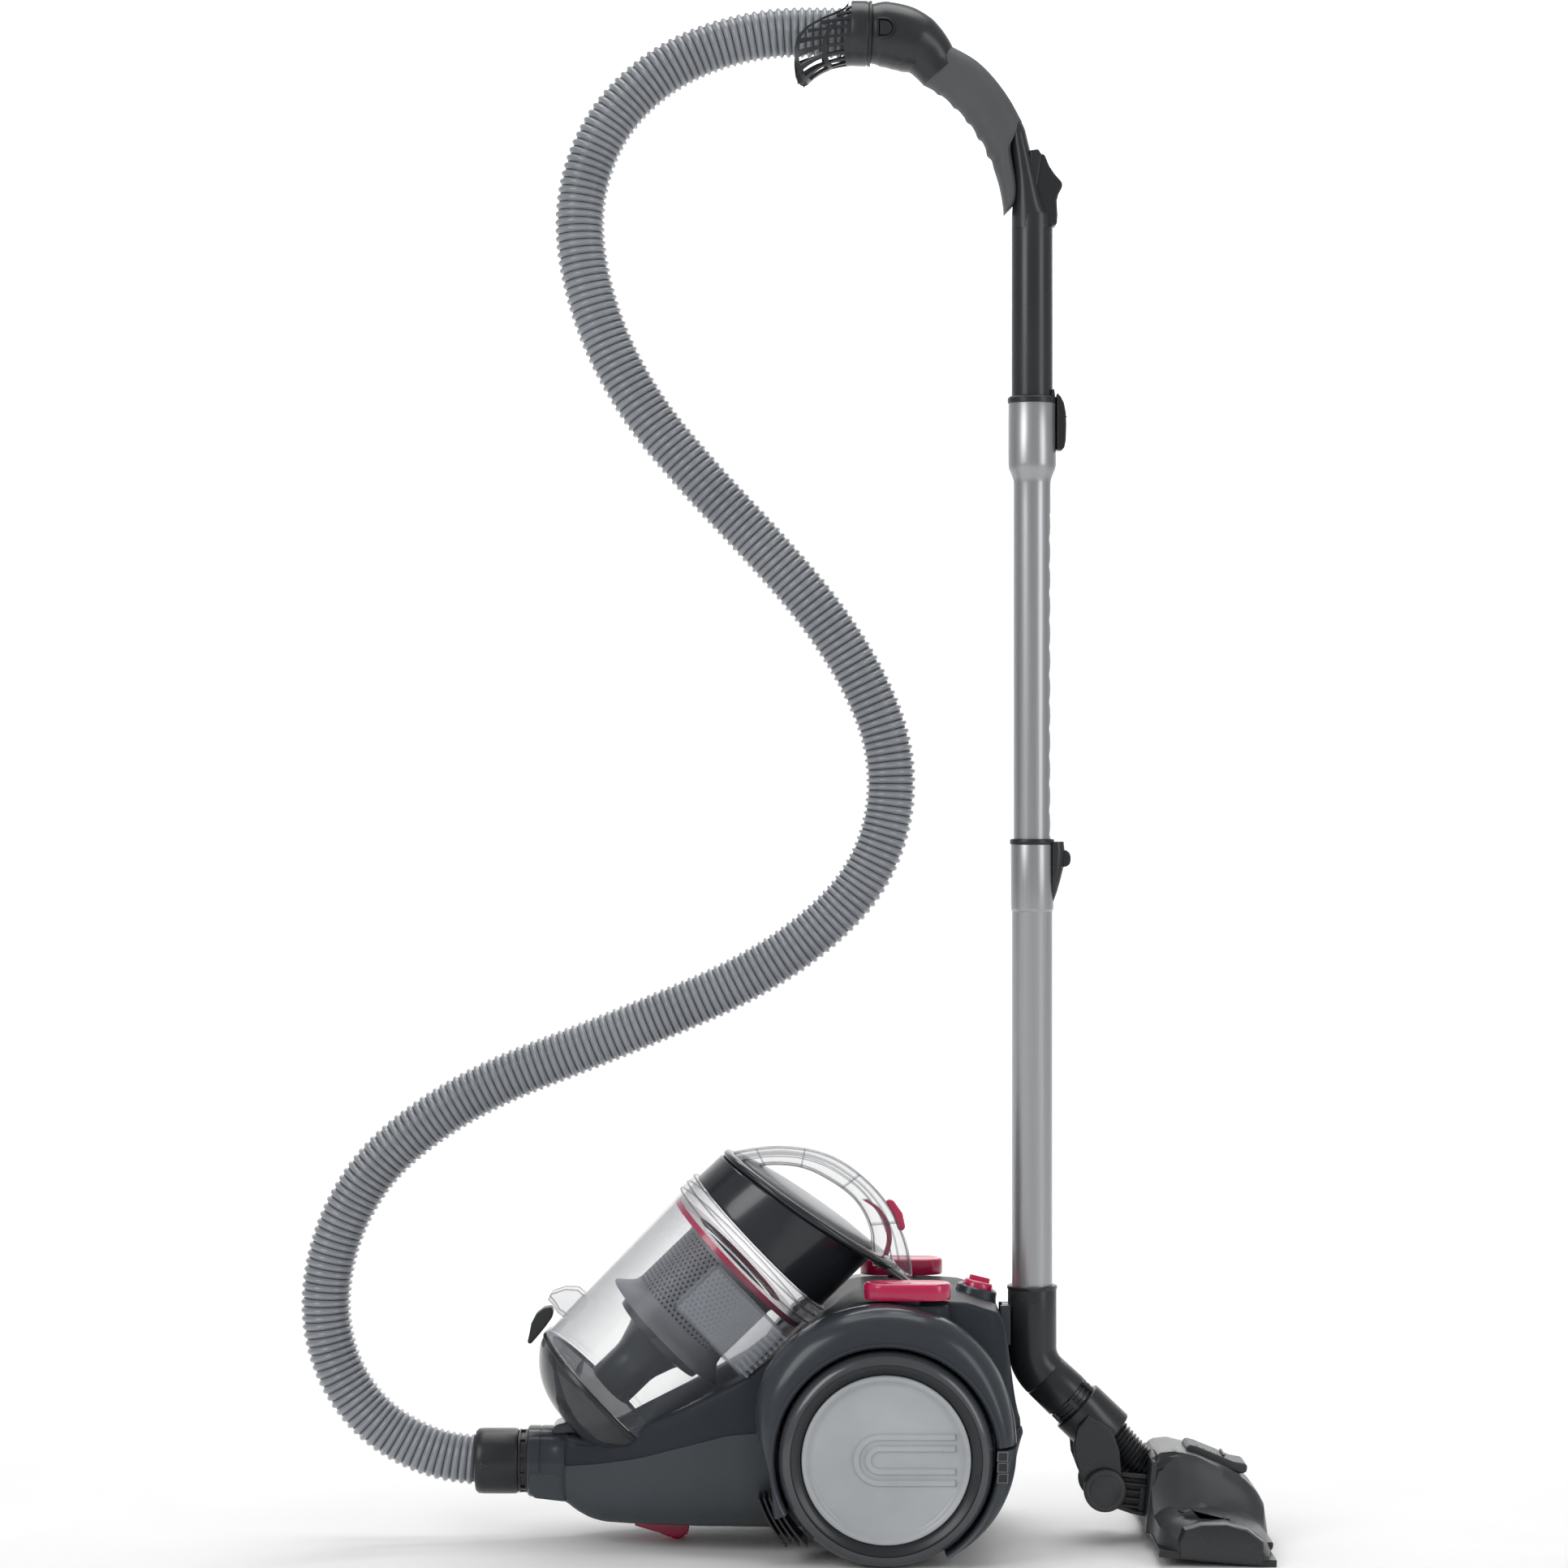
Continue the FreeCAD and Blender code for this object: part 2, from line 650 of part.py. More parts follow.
flap_latch = slab(
    "flap_latch",
    [(-81, -186), (-74.5, -186), (-75.5, -174), (-75.5, -150), (-83, -150), (-85, -168)],
    "Sizes.latch_width", BIN_AT, BIN_TURN,
)
trunnion = disc(flap_latch, "latch_trunnion", -80, -168, 2)
padded(flap_latch, trunnion, "Sizes.latch_width + 4")

# ---- wand ------------------------------------------------------------------------------

WAND_X = size("Sizes.wand_x")
WAND_AT = ("Sizes.wand_x", 0, 0)
TUBE = "Sizes.lower_tube_radius"
INNER = "Sizes.upper_tube_radius"
SOCKET = "Sizes.socket_radius"
HAND = "Sizes.handle_radius"
sleeve("lower_tube", TUBE, f"{TUBE} - Sizes.tube_wall", 181, 597, WAND_AT)
sleeve("wand_ring", f"{TUBE} + 1.5", f"{INNER} + 0.35", 597, 603, WAND_AT)
turned(
    "upper_tube",
    [(f"{INNER} - Sizes.tube_wall", 560), (INNER, 560), (INNER, 911), (SOCKET, 924),
     (SOCKET, 978), (f"{SOCKET} - 2.4", 978), (f"{SOCKET} - 2.4", 925),
     (f"{INNER} - Sizes.tube_wall", 913)],
    WAND_AT,
)
turned(
    "handle_tube",
    [(f"{HAND} - 2", 930), (HAND, 930), (HAND, 978.2), (f"{SOCKET} + 0.4", 978.2),
     (f"{SOCKET} + 0.4", 983), (HAND, 983), (HAND, 1140.5), (f"{HAND} - 2", 1140.5)],
    WAND_AT,
)

button_box = prism(
    [(147, 596), (147, 545), (154, 545), (157, 560), (157, 588), (153, 596)], -10, 10
)
button_box = button_box.cut(box((WAND_X + 20.5, -5, 579), (WAND_X + 32.5, 5, 593)))
tele_ring = upright_rod(WAND_X, 542, 597, size(TUBE) + 0.9)
made("tele_sleeve", tele_ring.fuse(button_box).cut(upright_rod(WAND_X, 500, 620, size(TUBE))))
slab("tele_button", [(154, 580), (162, 581), (162, 591), (154, 592)], 9)

LATCH = [
    (148, 937), (155, 937), (158, 945), (158, 978), (154.5, 983), (152.5, 989), (149.8, 989),
    (149.8, 983), (148, 980),
]
latch_clearance = upright_rod(WAND_X, 900, 983, size(SOCKET) + 2.2)
made("wand_latch", prism(LATCH, -9, 9).cut(latch_clearance))

# ---- hand grip and hose end of the wand ------------------------------------------------

slab(
    "hand_grip",
    [(57, 1287), (80.5, 1274), (101, 1253), (120.6, 1221), (113, 1211), (111, 1197),
     (115.5, 1169), (115, 1152), (105, 1141), (101, 1165), (94, 1185.5), (87.5, 1199),
     (79, 1213), (69, 1225), (47, 1245), (36, 1253)],
    "Sizes.grip_width",
)
slab(
    "handle_core",
    [(105.4, 1141), (144.5, 1141), (136, 1143), (127, 1187), (121, 1220.5), (113.4, 1211),
     (111.4, 1197), (115.9, 1169), (115.4, 1151.8)],
    "Sizes.grip_width - 6",
)
slab(
    "air_slider",
    [(132, 1193), (140, 1191), (143.5, 1181), (155, 1166), (150, 1155), (151, 1143),
     (137.5, 1143)],
    22,
)

ELBOW = size("Sizes.elbow_radius")
HOSE_AXIS = Vector(-0.9995, 0, 0.0300)
HANDLE_END = Vector(-12, 0, 1297)
ELBOW_FOOT = Vector(45, 0, 1270.5)
ELBOW_MIDDLE = HANDLE_END - HOSE_AXIS * 27
elbow = tapered(ELBOW_FOOT, ELBOW_MIDDLE, 19.7, ELBOW)
elbow = elbow.fuse([Part.makeSphere(ELBOW, ELBOW_MIDDLE), rod(ELBOW_MIDDLE, HANDLE_END, ELBOW)])
hose_room = rod(ELBOW_MIDDLE, HANDLE_END + HOSE_AXIS, 17)
air_room = rod(ELBOW_FOOT, ELBOW_MIDDLE, 15)
button_pit = rod(Vector(2, -28, 1297), Vector(2, -20, 1297), 8.4)
grip_side = prism([(78, 1321), (15, 1219), (80, 1219), (120, 1300)], -40, 40)
made("handle_elbow", elbow.cut([hose_room, air_room, grip_side, button_pit]).removeSplitter())
turned(
    "hose_button",
    [(0, 0), (8, 0), (8, 6.5), (7, 8), (0, 8)],
    (2, -23, 1297),
    Rotation(AXIS_X, 90),
)
turned(
    "hose_guard",
    [(22.3, 0.4), (28, 0.4), (28, 24), (26.8, 50), (26, 66), (24, 66)],
    tuple(HANDLE_END),
    Rotation(AXIS_Z, HOSE_AXIS),
)

# ---- swivelling neck at the foot of the wand -------------------------------------------

NECK = "Sizes.neck_radius"
COLLAR = "Sizes.collar_radius"
NECK_TURN = math.radians(size("Sizes.neck_turn"))
NECK_AXIS = Vector(math.sin(NECK_TURN), 0, math.cos(NECK_TURN))
NECK_TOP = Vector(WAND_X, 0, 217)
NECK_BEND = Vector(WAND_X, 0, 165)


def bend_point(turn):
    """Point of the neck's bend, an angle in radians along it."""
    radius = size("Sizes.neck_bend")
    return NECK_BEND + Vector(radius * (1 - math.cos(turn)), 0, -radius * math.sin(turn))


SWIVEL = bend_point(math.pi - NECK_TURN)


def neck_pipe(radius):
    path = Part.Wire([
        Part.LineSegment(NECK_TOP, NECK_BEND).toShape(),
        Part.Arc(NECK_BEND, bend_point((math.pi - NECK_TURN) / 2), SWIVEL).toShape(),
    ])
    ring = Part.Wire([Part.Circle(NECK_TOP, AXIS_Z, radius).toShape()])
    return path.makePipeShell([ring], True, False)


hook = box((107.9, -10, 171), (115.9, 10, 201))
tube_room = upright_rod(WAND_X, 180.5, 230, size(TUBE) + size("Sizes.play"))
made("neck_elbow", neck_pipe(size(NECK)).fuse(hook).cut([neck_pipe(16), tube_room, outer]))
turned(
    "neck_collar",
    [(16, 0.4), (NECK, 0.4), (NECK, 26), (19, 27), (19, 37), (COLLAR, 38), (COLLAR, 76), (18, 76),
     (16, 60)],
    tuple(SWIVEL),
    Rotation(AXIS_Z, NECK_AXIS),
)

PIVOT_AT = ("Sizes.pivot_x", 0, "Sizes.pivot_z")
PIVOT = Vector(*[size(entry) for entry in PIVOT_AT])
joint_yoke = slab(
    "joint_yoke",
    [(-13.5, 61.6), (-25.5, 41.6), (-17.5, 11.6), (-12.5, -6.4), (-5.5, -12.4), (5.5, -12.4),
     (12.5, -5.4), (15.5, 15.6), (11.5, 37.6), (2.5, 51.6)],
    "Sizes.yoke_width", PIVOT_AT,
)
between_plates = [(-30, -20), (20, -20), (20, 70), (-30, 70)]
pocketed(joint_yoke, outline(joint_yoke, "yoke_gap", between_plates), "Sizes.yoke_width - 10.8")
yoke_bore = disc(joint_yoke, "yoke_bore", 0, 0, "Sizes.pin_radius + Sizes.play")
pocketed(joint_yoke, yoke_bore, "Sizes.yoke_width + 10")
sleeve("pivot_pin", "Sizes.pin_radius", 0, -38, 38, PIVOT_AT, ALONG_Y)

joint_rollers = new_body("joint_rollers", PIVOT_AT)
roller_disc = disc(joint_rollers, "roller_disc", 0, 0, "Sizes.roller_radius")
padded(joint_rollers, roller_disc, "Sizes.yoke_width + 1.2 + 2 * Sizes.roller_width")
roller_gap = disc(joint_rollers, "roller_gap", 0, 0, "Sizes.roller_radius + 1")
pocketed(joint_rollers, roller_gap, "Sizes.yoke_width + 1.2")
roller_bore = disc(joint_rollers, "roller_bore", 0, 0, "Sizes.pin_radius + Sizes.play")
pocketed(joint_rollers, roller_bore, "Sizes.yoke_width + 40")

# ---- floor head, modelled level about the pivot and dipped onto its front edge -----------

HEAD_TURN = Rotation(AXIS_Y, size("Sizes.head_dip"))
SOLE = size("Sizes.sole_level")
DECK = SOLE + size("Sizes.sole_thickness")
HALF_HEAD = size("Sizes.head_width / 2")
HALF_DOME = 48
DOME = [(36, 20), (44, 34), (56, 39), (74, 38), (129, 15), (140, -8)]
WING = [(42, -12), (50, -3), (100, -3), (128, -8), (138, -18)]
STRIPS = (68, 111)
STRIP_WIDTH = 4


def cover_block(top, half_width, skirt):
    """Solid under a top outline, down to the skirt's edge."""
    low = [(top[-1][0], DECK + skirt), (top[0][0], DECK + skirt)]
    return prism(top + low, -half_width, half_width)


def cover_room(top, half_width, skirt):
    low = [(top[-1][0], DECK + skirt), (top[0][0], DECK + skirt)]
    return prism(shifted(top + low, -WALL), WALL - half_width, half_width - WALL)


def on_head(name, shape):
    shape.Placement = Placement(PIVOT, HEAD_TURN)
    return made(name, shape)


half_wing = HALF_HEAD - 2
rooms = [
    cover_room(DOME, HALF_DOME, 0.2),
    cover_room(WING, half_wing, 0.2),
    box((45, 6 - HALF_HEAD, DECK - 1), (135, HALF_HEAD - 6, DECK + 7)),
    box((64, -22, 20), (124, 22, 50)),
]
shell = cover_block(DOME, HALF_DOME, 0.2).fuse(cover_block(WING, half_wing, 0.2))
on_head("head_cover", shell.cut(rooms).removeSplitter())

sole_plate = new_body("sole_plate", PIVOT_AT, HEAD_TURN)
sole_section = [(40, "Sizes.sole_level"), (138, "Sizes.sole_level"),
                (138, "Sizes.sole_level + Sizes.sole_thickness"),
                (40, "Sizes.sole_level + Sizes.sole_thickness")]
padded(sole_plate, outline(sole_plate, "sole_section", sole_section), "Sizes.head_width - 4")


def through_sole(name, low, high, length):
    """Opening right through the sole, from low to high along the head."""
    edges = [(low, "Sizes.sole_level - 5"), (high, "Sizes.sole_level - 5"),
             (high, "Sizes.sole_level + 15"), (low, "Sizes.sole_level + 15")]
    pocketed(sole_plate, outline(sole_plate, name, edges), length)


through_sole("mouth", 80, 104, "Sizes.head_width - 40")
for number, across in enumerate(STRIPS):
    through_sole(f"strip_slot_{number}", across, across + 5, "Sizes.head_width - 36")

brush_strips = new_body("brush_strips", PIVOT_AT, HEAD_TURN)
for number, across in enumerate(STRIPS):
    low, high = across + 0.5, across + 0.5 + STRIP_WIDTH
    foot = "Sizes.sole_level + 0.6"
    top = "Sizes.sole_level + Sizes.sole_thickness + Sizes.brush_drop + 4.6"
    strip = [(low, foot), (high, foot), (high, top), (low, top)]
    padded(brush_strips, outline(brush_strips, f"strip_{number}", strip), "Sizes.head_width - 38")
    if number == 0:
        bar_foot = "Sizes.sole_level + Sizes.sole_thickness + Sizes.brush_drop + 0.6"
        bars = [(low, bar_foot), (STRIPS[1] + 2, bar_foot), (STRIPS[1] + 2, top), (low, top)]
        padded(brush_strips, outline(brush_strips, "bars", bars), 126)
        gap = [(high, bar_foot), (120, bar_foot), (120, top), (high, top)]
        pocketed(brush_strips, outline(brush_strips, "bar_gap", gap), 114)

head_pedal = slab(
    "head_pedal",
    [(68, 30), (94, 25.4), (119, 24), (120, 31), (94, 36.5), (67, 41.5)],
    40, PIVOT_AT, HEAD_TURN,
)
padded(head_pedal, disc(head_pedal, "pedal_trunnion", 94, 28, 2), 43)

ARM = [(-12, -8), (-6, -13), (10, -13), (35.8, -16), (35.8, 14), (8, 13), (-6, 12), (-12, 6)]
fork_arm = slab("fork_arm", ARM, 44, PIVOT_AT, HEAD_TURN)
pocketed(fork_arm, outline(fork_arm, "arm_gap", [(-20, -30), (29.8, -30), (29.8, 30), (-20, 30)]), 34)
arm_bore = disc(fork_arm, "arm_bore", 0, 0, "Sizes.pin_radius + Sizes.play")
pocketed(fork_arm, arm_bore, 60)
seat = [(-11.5, 4), (11.5, 4), (11.5, 30), (-11.5, 30)]
pocketed(fork_arm, outline(fork_arm, "bellows_seat", seat, "YZ_Plane"), 90)

BELLOWS_TOP = SWIVEL + NECK_AXIS * 77
BELLOWS_FOOT = Vector(222, 0, 62)
made("bellows", tapered(BELLOWS_TOP, BELLOWS_FOOT, 15.5, 9.5))

# ---- hose cuff and hose ----------------------------------------------------------------

TUBING = "Sizes.hose_radius"
turned(
    "hose_cuff",
    [(19, 6), (f"{TUBING} + 0.35", 6), (f"{TUBING} + 0.35", -8), (24, -22), (25.5, -22),
     ("Sizes.cuff_radius", -14), ("Sizes.cuff_radius", 16), (25, 17), (25, 22.8), (23.9, 23),
     (23.9, 54), (19, 54)],
    (-328, 0, "Sizes.inlet_height"),
    Rotation(AXIS_Y, 90),
)

ROUTE = [
    (-322, 66.5), (-360, 66.5), (-402, 78), (-441, 103), (-469, 143), (-481, 190), (-477, 238),
    (-461, 284), (-432, 327), (-386, 364), (-330, 395), (-262, 421), (-190, 450), (-121, 480),
    (-62, 517), (-15, 564), (8, 622), (7, 684), (-17, 743), (-55, 801), (-104, 857), (-158, 914),
    (-208, 974), (-243, 1040), (-261, 1108), (-260, 1163), (-240, 1216), (-203, 1257),
    (-155, 1284), (-100, 1297.6), (-54, 1298.6), (-12.4, 1297.1),
]


def hose_path(points):
    """Straight runs joined by tangent arcs, as large as the shorter run allows."""
    corners = [Vector(a, 0, b) for a, b in points]
    edges = []
    radii = []
    last = corners[0]
    for before, corner, after in zip(corners, corners[1:], corners[2:]):
        arriving = (corner - before).normalize()
        leaving = (after - corner).normalize()
        half_turn = arriving.getAngle(leaving) / 2
        reach = 0.45 * min((corner - before).Length, (after - corner).Length)
        radius = reach / math.tan(half_turn)
        start = corner - arriving * reach
        end = corner + leaving * reach
        inward = (leaving - arriving).normalize()
        centre = corner + inward * (radius / math.cos(half_turn))
        edges.append(Part.LineSegment(last, start).toShape())
        edges.append(Part.Arc(start, centre - inward * radius, end).toShape())
        radii.append(round(radius))
        last = end
    edges.append(Part.LineSegment(last, corners[-1]).toShape())
    return Part.Wire(edges), radii


hose_wire, hose_radii = hose_path(ROUTE)
hose_start = hose_wire.Edges[0].firstVertex().Point
hose_heading = hose_wire.Edges[0].tangentAt(0)
outside = size(TUBING)
inside = outside - size("Sizes.hose_wall")
rings = [
    Part.Wire([Part.Circle(hose_start, hose_heading, radius).toShape()])
    for radius in (outside, inside)
]
pipes = [hose_wire.makePipeShell([ring], True, False) for ring in rings]
hose = made("hose", pipes[0].cut(pipes[1]))
straight_volume = math.pi * (outside ** 2 - inside ** 2) * hose_wire.Length
print("hose arc radii", hose_radii, "length", round(hose_wire.Length, 1))
print("hose volume against section times length", round(hose.Shape.Volume / straight_volume, 4))

# ---- check and write -------------------------------------------------------------------

doc.recompute()
for item in doc.Objects:
    if "Invalid" in item.State or "Error" in item.State:
        raise RuntimeError(item.Label + " did not recompute")
for piece in parts:
    if piece.Shape.isNull() or not piece.Shape.isValid():
        raise RuntimeError(piece.Label + " has no valid shape")

os.makedirs("parts", exist_ok=True)
for piece in parts:
    piece.Shape.exportStep("parts/" + piece.Label + ".step")
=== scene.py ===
import json
import math

import bmesh
import bpy
import numpy as np
from mathutils import Matrix, Vector


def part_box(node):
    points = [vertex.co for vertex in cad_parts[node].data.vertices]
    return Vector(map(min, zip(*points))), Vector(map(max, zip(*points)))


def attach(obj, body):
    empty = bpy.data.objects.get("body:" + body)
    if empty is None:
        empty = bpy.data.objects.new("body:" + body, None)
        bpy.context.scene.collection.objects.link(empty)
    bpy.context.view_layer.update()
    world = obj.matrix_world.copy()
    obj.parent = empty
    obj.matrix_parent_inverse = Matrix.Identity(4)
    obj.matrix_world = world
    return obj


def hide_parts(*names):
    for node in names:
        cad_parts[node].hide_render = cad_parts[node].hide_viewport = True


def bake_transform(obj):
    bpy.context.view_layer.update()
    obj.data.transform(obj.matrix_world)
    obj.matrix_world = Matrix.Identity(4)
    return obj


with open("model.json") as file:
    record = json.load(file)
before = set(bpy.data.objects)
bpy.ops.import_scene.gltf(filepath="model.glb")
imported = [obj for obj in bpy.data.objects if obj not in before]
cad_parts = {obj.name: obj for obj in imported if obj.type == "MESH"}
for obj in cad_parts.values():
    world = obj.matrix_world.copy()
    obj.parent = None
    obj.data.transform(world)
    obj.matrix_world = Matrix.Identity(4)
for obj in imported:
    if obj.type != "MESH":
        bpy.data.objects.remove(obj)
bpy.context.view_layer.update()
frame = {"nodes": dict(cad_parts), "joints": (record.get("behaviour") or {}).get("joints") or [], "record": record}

# Outlines and profiles below are in millimetres, in the frame of the CAD model, and are
# turned to metres when a mesh is made. +Z is up and +X runs from the hose inlet to the wand.
MM = 0.001
JOINTS = {joint["name"]: joint for joint in frame["joints"]}


# ---- places taken from the frame ------------------------------------------------------

def low(node):
    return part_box(node)[0] / MM


def high(node):
    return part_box(node)[1] / MM


def middle(node):
    return (low(node) + high(node)) / 2


def joint_point(name):
    return Vector(JOINTS[name]["pos_m"]) / MM


def joint_axis(name):
    return Vector(JOINTS[name]["axis"]).normalized()


def standing(point, axis=(0, 0, 1)):
    """Matrix that moves Z onto an axis through a point, keeping Y across the machine."""
    up = Vector(axis).normalized()
    side = Vector((0, 1, 0))
    if abs(up.dot(side)) > 0.9:
        side = Vector((-1, 0, 0))
    across = side.cross(up).normalized()
    side = up.cross(across)
    turn = Matrix((across, side, up)).transposed().to_4x4()
    return Matrix.Translation(Vector(point)) @ turn


def tilted(point, degrees):
    """Matrix of a frame at a point, turned about Y."""
    return Matrix.Translation(Vector(point)) @ Matrix.Rotation(math.radians(degrees), 4, "Y")


def spun(place, angle):
    """A place turned about its own Z."""
    return place @ Matrix.Rotation(angle, 4, "Z")


def circle_turns(steps):
    return [2 * math.pi * k / steps for k in range(steps)]


def add_object(name, data):
    made = bpy.data.objects.new(name, data)
    bpy.context.scene.collection.objects.link(made)
    return made


# ---- materials ------------------------------------------------------------------------

def add_node(tree, kind, inputs=(), **settings):
    node = tree.nodes.new(kind)
    for key, value in settings.items():
        setattr(node, key, value)
    for key, value in dict(inputs).items():
        if hasattr(value, "is_output"):
            tree.links.new(value, node.inputs[key])
        else:
            node.inputs[key].default_value = value
    return node


def new_material(name):
    material = bpy.data.materials.new(name)
    material.use_nodes = True
    tree = material.node_tree
    return material, tree, tree.nodes["Principled BSDF"], add_node(tree, "ShaderNodeTexCoord")


def ramp(tree, factor, stops):
    node = add_node(tree, "ShaderNodeValToRGB", {"Fac": factor})
    elements = node.color_ramp.elements
    while len(elements) < len(stops):
        elements.new(0.5)
    for element, (place, colour) in zip(elements, stops):
        element.position = place
        element.color = (*colour, 1)
    return node.outputs["Color"]


def shade(colour, factor):
    return tuple(min(1, c * factor) for c in colour)


def join(tree, shader, tone, gloss, relief):
    """Links a material's colour, roughness and bump to its shader."""
    tree.links.new(tone, shader.inputs["Base Color"])
    tree.links.new(gloss.outputs["Result"], shader.inputs["Roughness"])
    tree.links.new(relief.outputs["Normal"], shader.inputs["Normal"])


def plastic(name, colour, rough, grain=900, bump=0.02, coat=0.0, patch=0.1, specular=0.5):
    """Moulded plastic: fine grain in the surface, slow drift in colour and in gloss."""
    material, tree, shader, place = new_material(name)
    drift = add_node(tree, "ShaderNodeTexNoise",
                     {"Vector": place.outputs["Object"], "Scale": 14, "Detail": 4})
    grains = add_node(tree, "ShaderNodeTexNoise",
                      {"Vector": place.outputs["Object"], "Scale": grain, "Detail": 2})
    tone = ramp(tree, drift.outputs["Fac"],
                [(0.3, shade(colour, 1 - patch)), (0.7, shade(colour, 1 + patch))])
    gloss = add_node(tree, "ShaderNodeMapRange",
                     {"Value": drift.outputs["Fac"], "From Min": 0.3, "From Max": 0.7,
                      "To Min": rough * 0.88, "To Max": rough * 1.12})
    relief = add_node(tree, "ShaderNodeBump",
                      {"Height": grains.outputs["Fac"], "Strength": bump, "Distance": 0.0004})
    join(tree, shader, tone, gloss, relief)
    shader.inputs["Coat Weight"].default_value = coat
    shader.inputs["Coat Roughness"].default_value = 0.06
    shader.inputs["Specular IOR Level"].default_value = specular
    return material


def metal(name, colour, rough, stretch=(700, 700, 6)):
    """Drawn and anodised tube: fine lines along its length."""
    material, tree, shader, place = new_material(name)
    scaled = add_node(tree, "ShaderNodeMapping",
                      {"Vector": place.outputs["Object"], "Scale": stretch})
    lines = add_node(tree, "ShaderNodeTexNoise",
                     {"Vector": scaled.outputs["Vector"], "Scale": 1, "Detail": 3})
    tone = ramp(tree, lines.outputs["Fac"],
                [(0.3, shade(colour, 0.95)), (0.7, shade(colour, 1.03))])
    gloss = add_node(tree, "ShaderNodeMapRange",
                     {"Value": lines.outputs["Fac"], "To Min": rough * 0.85, "To Max": rough * 1.2})
    relief = add_node(tree, "ShaderNodeBump",
                      {"Height": lines.outputs["Fac"], "Strength": 0.05, "Distance": 0.0003})
    join(tree, shader, tone, gloss, relief)
    shader.inputs["Metallic"].default_value = 0.82
    return material


def clear(name, colour, thin, thick, rough=0.05):
    """Clear or smoked plastic sheet: see-through face on, denser towards its edges."""
    material, tree, shader, place = new_material(name)
    facing = add_node(tree, "ShaderNodeLayerWeight", {"Blend": 0.35})
    haze = add_node(tree, "ShaderNodeTexNoise",
                    {"Vector": place.outputs["Object"], "Scale": 9, "Detail": 3})
    density = add_node(tree, "ShaderNodeMapRange",
                       {"Value": facing.outputs["Facing"], "To Min": thin, "To Max": thick})
    tone = ramp(tree, haze.outputs["Fac"], [(0.3, shade(colour, 0.94)), (0.7, colour)])
    gloss = add_node(tree, "ShaderNodeMapRange",
                     {"Value": haze.outputs["Fac"], "To Min": rough * 0.7, "To Max": rough * 1.4})
    tree.links.new(tone, shader.inputs["Base Color"])
    tree.links.new(gloss.outputs["Result"], shader.inputs["Roughness"])
    tree.links.new(density.outputs["Result"], shader.inputs["Alpha"])
    shader.inputs["Specular IOR Level"].default_value = 0.6
    return material


FINISHES = {
    "hull": (plastic("hull", (0.036, 0.043, 0.052), 0.42, bump=0.10), "hull_plastic"),
    "gloss": (plastic("gloss", (0.034, 0.040, 0.049), 0.24, 500, 0.004, 0.12, specular=0.34),
              "shell_gloss"),
    "deck": (plastic("deck", (0.030, 0.035, 0.043), 0.42, 600, 0.01, 0.0, specular=0.12),
             "shell_gloss"),
    "cover": (plastic("cover", (0.018, 0.021, 0.026), 0.20, 400, 0.003, 0.2, specular=0.42),
              "shell_gloss"),
    "black": (plastic("black", (0.014, 0.015, 0.017), 0.36, bump=0.08), "black_plastic"),
    "satin": (plastic("satin", (0.020, 0.022, 0.025), 0.28, bump=0.04), "black_plastic"),
    "head": (plastic("head", (0.035, 0.038, 0.043), 0.40, bump=0.10), "black_plastic"),
    "grip": (plastic("grip", (0.080, 0.085, 0.090), 0.55, 1500, 0.16), "grip_rubber"),
    "red": (plastic("red", (0.52, 0.006, 0.075), 0.22, 600, 0.01, 0.5), "red_plastic"),
    # The silver finish also stands in for painted edge highlights on the rear vent frames.
    "silver": (plastic("silver", (0.12, 0.13, 0.14), 0.34, 700, 0.02, 0.1), "silver_plastic"),
    "disc": (plastic("disc", (0.42, 0.44, 0.46), 0.24, 900, 0.02), "wheel_plastic"),
    "tread": (plastic("tread", (0.055, 0.060, 0.068), 0.22, 600, 0.02, 0.3), "wheel_tread"),
    "ring": (plastic("ring", (0.016, 0.018, 0.021), 0.30, 700, 0.03), "wheel_plastic"),
    "hose": (plastic("hose", (0.25, 0.265, 0.29), 0.17, 400, 0.02, 0.5), "hose_plastic"),
    # Near-black finish for the hose's valleys: painted shade.
    "groove": (plastic("groove", (0.035, 0.038, 0.045), 0.4, 400, 0.02), "hose_plastic"),
    "filter": (plastic("filter", (0.55, 0.54, 0.50), 0.9, 2500, 0.5), "filter_foam"),
    "bristle": (plastic("bristle", (0.02, 0.02, 0.02), 0.7, 2500, 0.4), "bristle"),
    "inner": (plastic("inner", (0.05, 0.06, 0.05), 0.4), "inner_plastic"),
    "steel": (metal("steel", (0.55, 0.55, 0.56), 0.3), "steel"),
    "tube": (metal("tube", (0.42, 0.43, 0.44), 0.33), "aluminium_tube"),
    "clear": (clear("clear", (0.34, 0.365, 0.41), 0.07, 0.52), "clear_plastic"),
    "thick": (clear("thick", (0.13, 0.14, 0.17), 0.28, 0.70), "clear_plastic"),
    "arch": (clear("arch", (0.24, 0.255, 0.29), 0.22, 0.80), "clear_plastic"),
    "haze": (clear("haze", (0.46, 0.49, 0.54), 0.30, 0.78), "clear_plastic"),
    "smoke": (clear("smoke", (0.05, 0.052, 0.060), 0.62, 0.92), "smoked_plastic"),
    "mesh": (plastic("mesh", (0.21, 0.22, 0.24), 0.35, 700, 0.03), "smoked_plastic"),
}


# ---- making pieces --------------------------------------------------------------------

